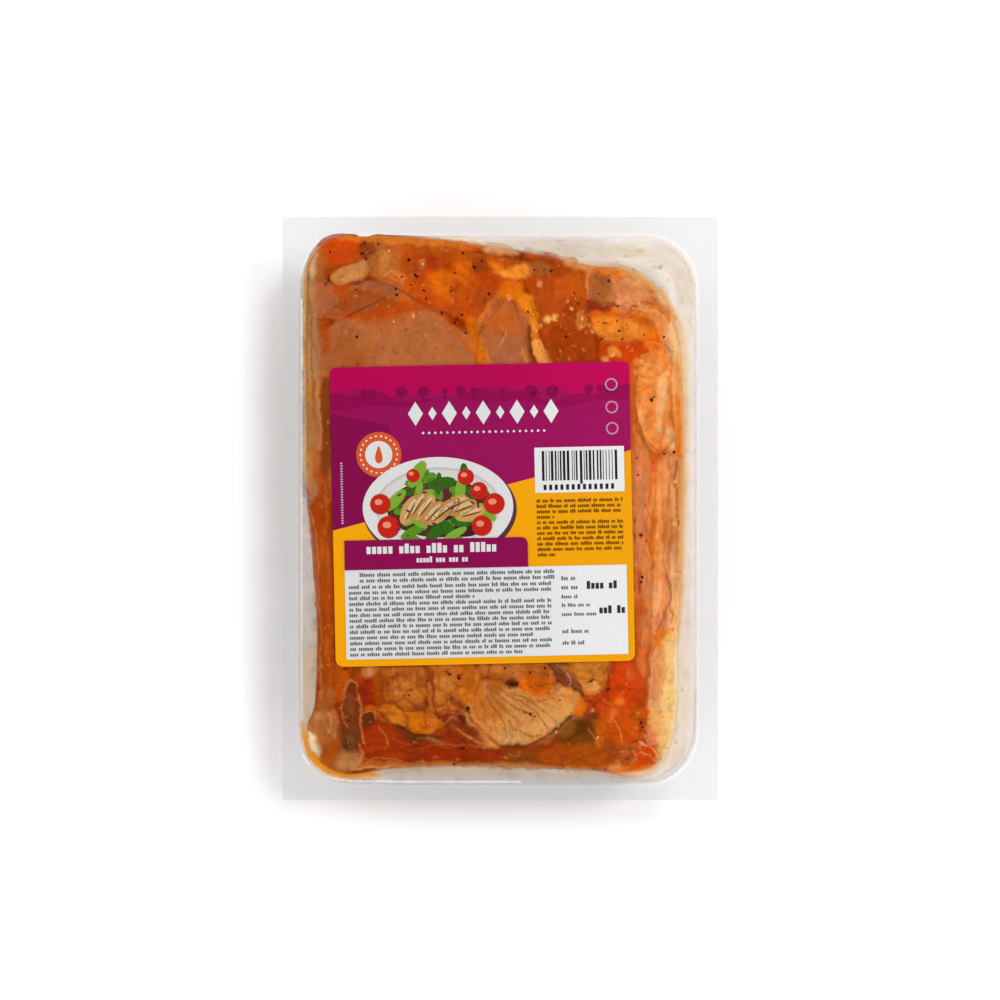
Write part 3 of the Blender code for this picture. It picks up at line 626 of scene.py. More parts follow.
    "olive flap": (((560, 722), (580, 716), (598, 718), (600, 736), (586, 744), (562, 742), (552, 736)),
        (112, 62, 14), 0.85, 5),
    "darkest flap": (((566, 730), (582, 722), (590, 726), (576, 738)), (88, 44, 8), 0.6, 5),
    "sauce under flap": (((540, 752), (556, 744), (590, 746), (612, 740), (616, 764), (580, 768),
        (546, 766)), (172, 76, 14), 0.9, 5),
    "flap rim": (((592, 718), (604, 722), (604, 744), (596, 746), (596, 730)), (196, 92, 22), 0.8, 3),
    "violet brown": (((568, 706), (590, 702), (600, 708), (594, 720), (576, 718)), (140, 62, 30), 0.85,
        2.5),
    "red wedge": (((584, 694), (604, 688), (608, 704), (596, 710), (586, 704)), (190, 66, 12), 0.85, 2.5),
    "orange by fan": (((572, 694), (584, 698), (586, 708), (576, 716), (570, 706)), (218, 106, 18), 0.95,
        2.5),
    "fan face": (((470, 708), (480, 696), (498, 688), (520, 693), (544, 699), (556, 691), (572, 686),
        (580, 696), (574, 712), (560, 724), (546, 733), (528, 741), (508, 744), (492, 738), (478, 724)),
        (211, 142, 80), 1.0, 1.8),
    "fan brown side": (((470, 708), (480, 696), (496, 692), (506, 702), (500, 716), (486, 722), (476, 718)),
        (196, 112, 46), 0.85, 5),
    "fan light edge": (((498, 734), (520, 728), (545, 722), (560, 712), (574, 702), (572, 712), (556, 726),
        (530, 741), (508, 744)), (222, 160, 100), 0.7, 4),
    "fan upper brown": (((504, 692), (520, 694), (536, 702), (526, 706), (508, 700)), (202, 126, 66), 0.6,
        4),
    "fan top tan": (((556, 690), (566, 686), (574, 690), (570, 698), (558, 700)), (230, 150, 88), 0.7, 2),
    "orange cap": (((516, 682), (528, 677), (544, 678), (552, 688), (540, 696), (524, 692)), (226, 108, 18),
        0.95, 2),
    "lump brown": (((500, 666), (514, 662), (524, 672), (518, 682), (504, 682)), (186, 104, 50), 0.85, 3),
    "dark lump shade": (((504, 682), (512, 679), (520, 683), (514, 688), (506, 687)), (112, 50, 18), 0.9,
        2),
    "pink bit over cap": (((532, 666), (543, 664), (546, 670), (538, 675), (532, 672)), (214, 130, 74),
        0.85, 1.6),
    "tendon face": (((548, 662), (556, 666), (566, 677), (580, 685), (577, 691), (566, 686), (552, 674)),
        (138, 74, 42), 0.95, 1.5),
    "tan face": (((562, 666), (584, 662), (610, 662), (606, 682), (592, 690), (582, 684), (572, 674)),
        (206, 124, 48), 0.9, 3),
    "tan pale end": (((582, 685), (594, 682), (602, 684), (598, 692), (588, 694)), (224, 148, 78), 0.9, 2),
    "tan shade": (((600, 664), (612, 662), (612, 672), (602, 676)), (190, 96, 24), 0.7, 3),
    "lump two face": (((430, 674), (442, 668), (456, 674), (455, 694), (446, 708), (436, 706), (430, 690)),
        (190, 106, 42), 0.9, 3),
    "lump three face": (((458, 668), (476, 668), (484, 684), (478, 700), (464, 706), (456, 694)),
        (206, 112, 32), 0.9, 3),
    "lump one arc": (((386, 690), (398, 678), (414, 678), (424, 690), (418, 704), (402, 708), (392, 700)),
        (184, 102, 42), 0.9, 3),
    "ridge by label": (((378, 670), (400, 666), (424, 670), (420, 676), (392, 676)), (194, 106, 44), 0.8,
        2.5),
    "crown one": (((392, 684), (402, 680), (408, 688), (400, 696), (392, 694)), (206, 122, 54), 0.7, 3),
    "crown two": (((436, 678), (446, 674), (450, 684), (442, 694), (436, 690)), (212, 124, 48), 0.7, 3),
    "crown three": (((462, 672), (474, 672), (476, 684), (466, 690)), (220, 126, 40), 0.7, 3),
    "crown four": (((410, 686), (418, 684), (420, 694), (414, 698)), (198, 112, 46), 0.6, 2.5),
    "deep gap one": (((378, 680), (384, 678), (384, 700), (380, 706), (375, 694)), (120, 46, 10), 0.8, 2.5),
    "deep gap two": (((424, 700), (432, 704), (440, 706), (436, 712), (426, 708)), (124, 50, 12), 0.8, 2),
    "deep gap three": (((450, 694), (458, 700), (466, 704), (462, 710), (452, 704)), (126, 50, 14), 0.8, 2),
    "deep gap four": (((426, 666), (433, 668), (433, 682), (429, 682)), (134, 58, 18), 0.7, 2),
    "lobe one": (((382, 711), (388, 705), (398, 704), (404, 712), (408, 724), (404, 728), (394, 721)),
        (208, 120, 36), 1.0, 1.5),
    "lobe two": (((408, 719), (412, 714), (420, 716), (424, 726), (422, 733), (412, 731)), (202, 106, 20),
        1.0, 1.5),
    "lobe three": (((424, 722), (426, 710), (434, 704), (440, 712), (438, 724), (430, 730)), (200, 106, 30),
        0.9, 1.8),
    "pink loops": (((442, 712), (456, 709), (466, 714), (458, 722), (446, 722)), (184, 88, 50), 0.85, 2),
    "red pool middle": (((436, 728), (456, 730), (474, 738), (476, 748), (446, 745)), (150, 46, 5), 0.9, 3),
    "pale wedge": (((474, 727), (481, 730), (492, 742), (484, 743), (476, 736)), (222, 130, 70), 0.9, 1.6),
    "brown right of wedge": (((500, 746), (530, 744), (550, 736), (560, 742), (540, 752), (510, 752)),
        (150, 62, 18), 0.7, 3),
    "left column low": (((322, 640), (334, 640), (336, 700), (330, 714), (322, 700)), (166, 72, 22), 0.8,
        3),
    "red beside label": (((334, 664), (346, 668), (350, 684), (342, 700), (336, 690)), (184, 78, 22), 0.8,
        3),
    "dark red pool": (((357, 682), (372, 678), (382, 690), (376, 706), (362, 706), (358, 694)),
        (146, 42, 4), 0.95, 3),
    "pale lump by label": (((362, 668), (372, 664), (380, 670), (374, 677), (364, 676)), (192, 122, 74),
        0.85, 2),
    "orange wedge": (((362, 709), (370, 705), (384, 712), (392, 720), (378, 718)), (216, 104, 22), 0.9,
        1.8),
    "sauce low left": (((364, 724), (380, 722), (400, 734), (410, 746), (392, 758), (366, 752)),
        (160, 54, 6), 0.85, 4),
    "skin face": (((344, 694), (350, 683), (356, 685), (358, 702), (360, 724), (356, 732), (347, 726),
        (343, 710)), (120, 54, 24), 1.0, 1.6),
    "skin lighter": (((346, 698), (353, 696), (354, 712), (348, 714)), (142, 74, 38), 0.6, 2),
    "round face": (((361, 719), (364, 713), (371, 713), (375, 719), (371, 726), (364, 726)), (106, 50, 28),
        1.0, 1.4),
    "low left ochre edge": (((302, 726), (309, 724), (314, 744), (322, 758), (318, 764), (307, 748)),
        (214, 140, 62), 0.8, 2.5),
    "pink fold": (((324, 716), (333, 710), (338, 720), (332, 734), (325, 730)), (204, 122, 74), 0.75, 3),
    "tan fold": (((312, 722), (322, 710), (328, 718), (322, 734), (314, 740)), (204, 136, 84), 0.8, 3.5),
    "dark eye": (((340, 738), (346, 731), (356, 734), (358, 742), (350, 748), (342, 746)), (82, 56, 38),
        0.95, 2),
    "grey eye glint": (((345, 739), (350, 735), (355, 739), (350, 744)), (126, 96, 72), 0.7, 1.3),
    "grey tan foot": (((334, 764), (340, 752), (354, 748), (362, 756), (356, 768), (342, 770)),
        (186, 126, 80), 0.9, 3),
    "low left brown": (((314, 744), (328, 736), (340, 746), (338, 762), (324, 764)), (168, 82, 28), 0.85,
        4),
    "low left shade": (((338, 726), (356, 724), (360, 746), (352, 752), (338, 748)), (120, 62, 30), 0.6, 4),
    "left brown streak": (((320, 384), (330, 384), (332, 440), (330, 476), (321, 474), (322, 430)),
        (132, 62, 28), 0.95, 3),
    "left orange": (((310, 478), (326, 474), (332, 500), (330, 530), (314, 524), (309, 504)), (162, 66, 16),
        0.9, 4),
    "left low orange": (((315, 530), (330, 534), (332, 600), (332, 650), (322, 650), (318, 600)),
        (172, 76, 24), 0.85, 3),
    "left ochre": (((307, 370), (312, 370), (311, 420), (313, 470), (309, 480), (307, 430)), (190, 128, 62),
        0.9, 2),
    "left light streak": (((316, 370), (319, 372), (319, 410), (316, 420)), (184, 118, 72), 0.8, 1.5),
    "low right ochre": (((664, 642), (684, 640), (684, 716), (674, 756), (656, 764), (660, 740),
        (664, 700)), (242, 196, 128), 0.7, 5),
    "low right pink": (((655, 650), (664, 650), (662, 690), (655, 704), (651, 684)), (228, 142, 92), 0.6,
        3),
    "low right pale": (((673, 640), (686, 640), (686, 718), (677, 756), (664, 766), (670, 740), (675, 700)),
        (248, 224, 188), 0.9, 4),
    "low left tan tone": (((308, 706), (324, 704), (334, 716), (334, 736), (322, 744), (310, 738)),
        (178, 106, 58), 0.65, 5),
    "low left glint": (((308, 733), (312, 733), (317, 748), (313, 751)), (250, 240, 214), 0.85, 1.4),
    "dark under lumps": (((438, 714), (456, 717), (472, 727), (486, 744), (470, 748), (450, 738)),
        (138, 50, 12), 0.85, 4),
    "right top ochre": (((670, 320), (680, 322), (684, 350), (680, 362), (672, 352)), (246, 206, 160), 0.85,
        4),
    "right upper ochre": (((671, 354), (681, 356), (684, 384), (682, 396), (673, 390)), (242, 172, 114),
        0.75, 4),
    "left edge tan": (((307, 284), (315, 284), (316, 330), (316, 372), (308, 376)), (182, 138, 104), 0.7,
        3),
    "left top tan": (((308, 248), (317, 246), (315, 262), (314, 276), (308, 276)), (222, 190, 154), 0.7, 3),
    "left mid tan": (((308, 478), (316, 480), (317, 496), (309, 500)), (180, 130, 90), 0.7, 3),
    "clump dark": (((359, 244), (373, 243), (376, 255), (362, 258)), (122, 54, 22), 0.75, 2.5),
    "corner cream": (((653, 283), (667, 286), (673, 304), (664, 302), (656, 292)), (238, 210, 178), 0.8, 4),
    "top edge pale": (((486, 246), (514, 248), (518, 254), (504, 255), (488, 253)), (226, 168, 116), 0.7,
        2.5),
    "lump calm left": (((460, 664), (474, 664), (475, 688), (462, 690)), (168, 82, 14), 0.8, 4),
    "lump calm middle": (((486, 676), (500, 674), (503, 690), (489, 692)), (172, 84, 14), 0.8, 4),
    "lump calm right": (((527, 664), (545, 664), (548, 680), (544, 690), (530, 690)), (172, 82, 18), 0.75,
        4),
    "herb light": (((556, 718), (574, 720), (573, 734), (558, 734)), (172, 104, 46), 0.55, 4),
    "right low ochre": (((671, 562), (681, 562), (680, 640), (671, 640)), (240, 188, 138), 0.6, 4),
    "strip low pink": (((640, 616), (656, 616), (656, 642), (642, 642)), (224, 136, 84), 0.55, 4),
    # A painted highlight in the lower left corner
    "corner low glint": (((308, 734), (315, 735), (320, 756), (313, 758)), (236, 212, 176), 0.75, 3),
    "darker under lumps": (((456, 717), (470, 723), (479, 732), (468, 737), (456, 729)), (110, 34, 6), 0.7,
        3),
    "rim ochre": (((566, 259), (590, 263), (590, 270), (568, 267)), (232, 164, 92), 0.65, 2.5),
    "fan low light": (((540, 704), (572, 705), (566, 721), (552, 732), (542, 728)), (228, 166, 108), 0.5,
        4),
    "rim tan right": (((624, 273), (646, 277), (644, 286), (626, 282)), (230, 174, 122), 0.6, 3),
    "top orange deep": (((414, 256), (434, 256), (436, 272), (416, 272)), (160, 56, 6), 0.5, 4),
    "strand bright": (((656, 466), (668, 466), (668, 514), (657, 514)), (244, 160, 100), 0.6, 3),
    "low left orange": (((320, 690), (334, 690), (334, 706), (321, 706)), (178, 108, 54), 0.5, 3),
    "lump edge orange": (((374, 676), (390, 676), (390, 706), (376, 706)), (180, 86, 18), 0.6, 4),
    "top right deep": (((568, 298), (588, 300), (588, 328), (570, 326)), (160, 68, 14), 0.45, 4),
    "left cool tan": (((307, 404), (316, 404), (317, 444), (308, 444)), (164, 116, 84), 0.6, 3),
    "low left calm": (((318, 717), (334, 717), (334, 736), (319, 736)), (154, 82, 32), 0.5, 3),
    "strip orange": (((642, 516), (654, 516), (654, 546), (643, 546)), (226, 112, 20), 0.5, 3),
    "low pink lump": (((652, 708), (662, 706), (665, 718), (662, 730), (653, 728)), (238, 182, 118), 0.6,
        3),
    "right strip rose": (((640, 478), (646, 474), (650, 520), (649, 590), (644, 600), (640, 560)),
        (224, 136, 88), 0.5, 3),
    "outer edge pale": (((676, 470), (682, 476), (682, 560), (678, 600), (674, 560), (673, 500)),
        (220, 148, 92), 0.6, 2.5),
}

# Thin lines: points, half width in pixels, colour, strength and how far they stand up in millimetres
STROKES = {
    "steak to seam edge": (((430, 306), (444, 318), (460, 338), (480, 364)), 1.6, (198, 88, 20), 0.8,
        -0.05),
    "tongue pale curve": (((501, 329), (505, 334), (502, 340), (500, 345)), 1.0, (222, 146, 78), 0.8, 0),
    "tongue left line": (((486, 350), (489, 360), (491, 370)), 1.0, (222, 130, 60), 0.7, 0),
    "tongue right dark": (((529, 326), (530, 342), (531, 352), (537, 366)), 1.4, (112, 46, 20), 0.85,
        -0.15),
    "tongue right pale": (((523, 350), (525, 358), (527, 366)), 1.0, (216, 140, 90), 0.7, 0),
    "steak seam top": (((340, 303), (337, 294), (331, 283)), 1.2, (150, 70, 34), 0.6, -0.05),
    "clump edge": (((352, 262), (362, 258), (372, 262), (378, 256)), 1.4, (140, 74, 36), 0.6, -0.05),
    "ridge arc one": (((386, 276), (392, 272), (400, 276), (402, 284)), 1.0, (228, 148, 88), 0.6, 0.03),
    "ridge arc two": (((381, 262), (386, 258), (384, 252)), 0.9, (222, 148, 86), 0.6, 0.03),
    "ridge brown": (((374, 268), (380, 276), (390, 281), (398, 283)), 1.0, (150, 76, 40), 0.6, -0.04),
    "dark bits": (((353, 284), (358, 283), (364, 281)), 1.2, (100, 40, 16), 0.7, -0.03),
    "dark bits left": (((324, 285), (328, 281), (330, 277)), 1.0, (84, 34, 14), 0.8, -0.03),
    "middle left edge": (((588, 270), (586, 282), (589, 298)), 1.0, (232, 142, 84), 0.7, 0.03),
    "cut arc": (((612, 279), (617, 288), (620, 300)), 0.9, (226, 146, 96), 0.7, 0.03),
    "cut arc two": (((627, 281), (633, 290), (632, 302)), 0.9, (230, 146, 92), 0.7, 0.03),
    "cut dark line": (((592, 300), (604, 302), (614, 306)), 1.2, (136, 62, 24), 0.6, -0.1),
    "rim curve": (((650, 309), (658, 312), (664, 318)), 1.3, (242, 164, 86), 0.8, 0.03),
    "knot line": (((640, 302), (646, 300), (652, 303), (650, 308)), 0.8, (160, 76, 34), 0.7, -0.05),
    "seam under cut": (((628, 314), (634, 310), (636, 306)), 1.0, (140, 60, 20), 0.7, -0.08),
    "fat shadow": (((602, 342), (622, 344), (640, 340)), 1.2, (196, 80, 14), 0.6, -0.06),
    "fillet crack one": (((640, 377), (650, 378), (660, 374), (664, 370)), 0.8, (206, 100, 34), 0.8, -0.1),
    "fillet crack two": (((638, 386), (646, 384), (652, 386)), 0.7, (212, 106, 40), 0.7, -0.08),
    "fillet crack three": (((648, 392), (652, 398), (656, 396)), 0.7, (206, 100, 34), 0.6, -0.08),
    "fillet crack four": (((650, 424), (656, 430), (660, 436)), 0.8, (210, 106, 40), 0.7, -0.1),
    "fillet crack five": (((662, 416), (663, 430), (661, 444)), 0.8, (214, 110, 44), 0.6, -0.08),
    "fillet edge": (((640, 424), (645, 438), (654, 448), (662, 450), (668, 454), (675, 454)), 1.3,
        (184, 82, 22), 0.85, -0.15),
    "fillet top line": (((664, 373), (670, 374), (674, 380)), 0.9, (250, 180, 120), 0.7, 0.03),
    "fillet top line two": (((655, 366), (662, 372), (660, 384)), 0.9, (250, 176, 112), 0.6, 0.02),
    "label side line": (((633, 380), (635, 400), (637, 430)), 1.2, (196, 86, 28), 0.7, -0.05),
    "right dark line": (((677, 460), (675, 480), (677, 500), (677, 526)), 1.0, (146, 70, 34), 0.85, -0.1),
    "right brown line": (((669, 462), (671, 474), (668, 490), (668, 508)), 0.9, (176, 92, 54), 0.7, -0.06),
    "peach left line": (((650, 490), (648, 508), (646, 530), (650, 552), (647, 575), (643, 596)), 1.0,
        (180, 90, 44), 0.6, -0.08),
    "peach mid line": (((656, 490), (656, 520), (657, 545)), 0.7, (210, 116, 60), 0.6, -0.04),
    "peach right line": (((664, 500), (662, 530), (664, 560), (667, 576)), 0.8, (196, 104, 56), 0.6, -0.06),
    "light line": (((646, 545), (650, 560), (648, 572), (652, 584)), 0.9, (240, 158, 96), 0.6, 0.03),
    "fork main": (((667, 576), (672, 594), (668, 606), (664, 618), (656, 632)), 1.1, (172, 90, 46), 0.85,
        -0.1),
    "fork side": (((672, 594), (671, 608), (672, 624)), 0.9, (176, 92, 48), 0.7, -0.08),
    "fork light": (((660, 580), (668, 590), (668, 600)), 0.9, (244, 164, 104), 0.6, 0.03),
    "lap edge": (((652, 634), (656, 640), (652, 650), (649, 662)), 0.9, (196, 92, 28), 0.7, -0.08),
    "strip dark left": (((648, 650), (648, 672), (647, 690), (645, 706)), 1.2, (176, 78, 24), 0.85, -0.12),
    "strip pale right": (((664, 650), (663, 676), (660, 700)), 0.8, (240, 160, 100), 0.6, 0),
    "sheet dark seam": (((615, 662), (610, 676), (606, 692), (596, 704), (586, 714)), 1.6, (160, 46, 8),
        0.8, -0.12),
    "sheet fibre one": (((612, 716), (618, 728), (622, 740)), 0.7, (228, 142, 58), 0.8, 0.02),
    "sheet fibre two": (((588, 728), (594, 736), (600, 746)), 0.7, (206, 116, 50), 0.7, 0.02),
    "sheet fibre three": (((604, 700), (612, 704), (622, 700)), 0.8, (230, 120, 50), 0.6, 0.02),
    "sheet dark edge": (((643, 690), (641, 704), (632, 716)), 1.2, (164, 72, 14), 0.7, -0.08),
    "fold one": (((640, 742), (650, 746), (657, 755)), 0.9, (240, 166, 116), 0.85, 0.03),
    "fold two": (((640, 745), (644, 753), (656, 760)), 0.7, (236, 152, 96), 0.6, 0.02),
    "ring one": (((634, 750), (637, 757), (632, 764)), 0.9, (216, 124, 76), 0.8, 0.02),
    "ring two": (((612, 752), (622, 748), (632, 750), (630, 758), (618, 758)), 0.9, (146, 66, 30), 0.7,
        -0.06),
    "ring three": (((608, 762), (622, 764), (634, 767)), 0.8, (190, 80, 24), 0.7, -0.05),
    "knots dark": (((638, 718), (644, 722), (640, 728), (646, 732)), 1.2, (120, 46, 14), 0.75, -0.1),
    "pink edge": (((643, 736), (650, 745), (658, 744)), 0.9, (178, 70, 20), 0.7, -0.08),
    "fan outline": (((470, 716), (482, 729), (496, 742), (512, 747), (532, 744), (552, 733), (572, 716)),
        1.6, (96, 46, 12), 0.9, -0.15),
    "fan orange rim": (((469, 712), (478, 722), (488, 734), (500, 742)), 1.2, (228, 134, 62), 0.8, 0.02),
    "fan crack one": (((480, 702), (486, 712), (485, 722), (492, 732)), 0.7, (150, 82, 34), 0.85, -0.12),
    "fan crack two": (((486, 698), (496, 710), (503, 722), (505, 738)), 0.8, (146, 80, 34), 0.85, -0.12),
    "fan crack three": (((490, 694), (502, 706), (514, 716), (518, 726)), 0.8, (150, 84, 36), 0.85, -0.12),
    "fan crack four": (((496, 692), (510, 704), (524, 712), (532, 714)), 0.8, (148, 80, 34), 0.85, -0.12),
    "fan crack five": (((506, 694), (520, 702), (532, 708), (542, 720), (550, 730)), 0.8, (152, 86, 38),
        0.85, -0.12),
    "fan crack six": (((522, 697), (536, 704), (548, 716), (556, 722)), 0.7, (156, 90, 42), 0.8, -0.1),
    "fan crack seven": (((508, 720), (516, 730), (530, 736), (542, 736)), 0.8, (150, 84, 36), 0.8, -0.12),
    "fan crack eight": (((474, 706), (476, 714), (482, 722)), 0.7, (150, 80, 34), 0.7, -0.1),
    "fan crack nine": (((494, 716), (494, 726), (500, 736)), 0.6, (158, 90, 42), 0.7, -0.08),
    "fan crack ten": (((536, 698), (548, 704), (560, 708)), 0.6, (170, 100, 50), 0.6, -0.06),
    "fan dark bit": (((524, 713), (530, 715), (533, 718)), 1.1, (112, 54, 20), 0.8, -0.05),
    "fan tan net": (((552, 700), (558, 694), (568, 698), (574, 692)), 0.8, (196, 104, 44), 0.7, -0.06),
    "fan edge cap": (((500, 690), (520, 696), (540, 700), (552, 694), (560, 686)), 1.1, (170, 90, 34), 0.75,
        -0.1),
    "cap net": (((534, 682), (540, 686), (546, 684), (556, 686)), 0.9, (140, 62, 18), 0.7, -0.06),
    "tendon edge": (((548, 664), (560, 676), (572, 686), (580, 692)), 0.9, (84, 40, 26), 0.8, -0.1),
    "tendon pink": (((566, 672), (570, 678), (568, 684)), 0.9, (196, 130, 112), 0.8, 0.02),
    "tendon light": (((556, 662), (564, 670), (572, 676)), 0.7, (176, 110, 86), 0.7, 0.02),
    "tan line one": (((574, 676), (588, 678), (604, 684)), 0.8, (172, 88, 24), 0.7, -0.05),
    "tan line two": (((582, 690), (592, 692), (600, 688)), 0.8, (180, 90, 30), 0.7, -0.05),
    "tan dash": (((587, 682), (594, 680)), 1.1, (70, 32, 12), 0.9, -0.03),
    "seam below tan": (((578, 690), (586, 700), (596, 704)), 1.0, (120, 46, 14), 0.7, -0.1),
    "lump divider": (((429, 676), (434, 692), (434, 704), (438, 716)), 1.3, (122, 52, 16), 0.85, -0.15),
    "lump divider top": (((426, 668), (432, 678), (430, 684)), 1.0, (130, 60, 20), 0.6, -0.08),
    "lump divider right": (((457, 670), (458, 684), (454, 700), (444, 710)), 1.0, (160, 78, 26), 0.6, -0.1),
    "lump ring": (((455, 680), (456, 686), (462, 687), (463, 680)), 0.8, (150, 64, 20), 0.7, -0.05),
    "lump one inner": (((393, 700), (394, 690), (402, 682), (412, 680)), 0.9, (146, 74, 28), 0.6, -0.08),
    "lump one outer": (((384, 702), (384, 688), (392, 677), (404, 672)), 1.0, (136, 62, 22), 0.65, -0.1),
    "lump one base": (((388, 702), (398, 704), (408, 711), (420, 708), (426, 696)), 1.2, (126, 56, 18),
        0.75, -0.12),
    "lobe gap": (((404, 708), (408, 718), (409, 730)), 1.0, (150, 64, 14), 0.8, -0.15),
    "lobe gap two": (((424, 712), (425, 722), (427, 732)), 1.0, (150, 60, 14), 0.75, -0.15),
    "lobe crease": (((390, 706), (392, 714), (397, 720)), 0.7, (200, 106, 26), 0.7, -0.05),
    "lobe crease two": (((400, 706), (403, 714), (402, 722)), 0.7, (196, 104, 26), 0.6, -0.05),
    "lobes underline": (((382, 714), (396, 726), (410, 734), (424, 736), (436, 732)), 1.4, (110, 44, 8),
        0.85, -0.15),
    "net one": (((440, 714), (446, 710), (456, 712), (462, 716)), 0.8, (126, 54, 22), 0.7, -0.06),
    "net two": (((444, 724), (450, 718), (458, 720)), 0.8, (210, 120, 66), 0.6, 0.02),
    "red stripe light": (((456, 728), (466, 736), (480, 742), (496, 746)), 0.9, (212, 130, 72), 0.8, 0.02),
    "right ochre rim": (((682, 350), (684, 400), (684.5, 470), (683, 540), (681, 600), (679, 655)), 1.5,
        (230, 154, 66), 0.85, 0),
    "right ochre rim top": (((612, 268), (640, 277), (660, 292), (673, 316), (679, 345)), 1.4,
        (226, 140, 56), 0.7, 0),
    "top ochre rim": (((345, 237), (380, 237), (430, 239), (480, 246)), 1.3, (214, 130, 46), 0.7, 0),
    "bottom ochre rim": (((360, 767), (430, 766), (500, 765), (590, 769)), 1.4, (196, 120, 48), 0.7, 0),
    "fibre low one": (((420, 738), (440, 744), (470, 746), (500, 748)), 0.9, (176, 92, 46), 0.6, 0),
    "fibre low two": (((392, 738), (402, 742), (418, 742)), 0.8, (184, 84, 36), 0.6, 0),
    "fibre low three": (((364, 762), (380, 758), (402, 760)), 0.9, (204, 110, 52), 0.7, 0.02),
    "fibre low four": (((378, 727), (384, 734), (388, 745)), 0.9, (210, 104, 44), 0.8, 0.02),
    "fibre low five": (((350, 768), (368, 768), (390, 766)), 0.9, (232, 140, 76), 0.8, 0.02),
    "fibre low six": (((408, 750), (432, 746), (452, 748)), 0.7, (190, 84, 30), 0.5, 0),
    "skin outline": (((343, 700), (345, 688), (351, 680), (357, 686), (360, 704), (361, 724), (364, 742)),
        1.0, (208, 118, 66), 0.85, 0.04),
    "skin outline left": (((343, 704), (342, 716), (346, 726)), 0.9, (196, 112, 66), 0.7, 0.03),
    "round outline": (((361, 714), (367, 711), (374, 714), (376, 720)), 0.9, (206, 116, 62), 0.8, 0.03),
    "wedge line": (((364, 709), (374, 710), (386, 716)), 0.8, (150, 60, 16), 0.7, -0.05),
    "pink fold line": (((329, 712), (331, 722), (328, 732)), 0.8, (212, 140, 96), 0.7, 0.02),
    "red fold line": (((336, 712), (341, 704), (344, 696)), 1.0, (150, 54, 20), 0.6, -0.05),
    "eye line": (((340, 744), (350, 749), (358, 745)), 0.9, (60, 34, 20), 0.7, -0.05),
    "foot edge": (((360, 744), (362, 754), (352, 770)), 0.9, (212, 120, 60), 0.7, 0.02),
    "left line one": (((314, 372), (318, 400), (321, 430), (318, 448)), 0.8, (196, 138, 92), 0.8, 0.02),
    "left line two": (((310, 300), (312, 340), (312, 380), (314, 420)), 1.0, (140, 84, 34), 0.7, -0.05),
    "left line three": (((312, 480), (308, 505), (314, 525), (318, 560), (320, 620), (322, 700)), 0.9,
        (196, 120, 70), 0.6, 0.02),
    "left line four": (((324, 480), (328, 510), (326, 540), (330, 580)), 0.8, (196, 104, 46), 0.6, 0.02),
    "left dark line": (((328, 480), (330, 520), (332, 560)), 1.2, (140, 60, 20), 0.6, -0.05),
    "left seam": (((320, 300), (316, 320), (318, 350), (317, 372)), 0.9, (186, 122, 78), 0.6, 0),
}

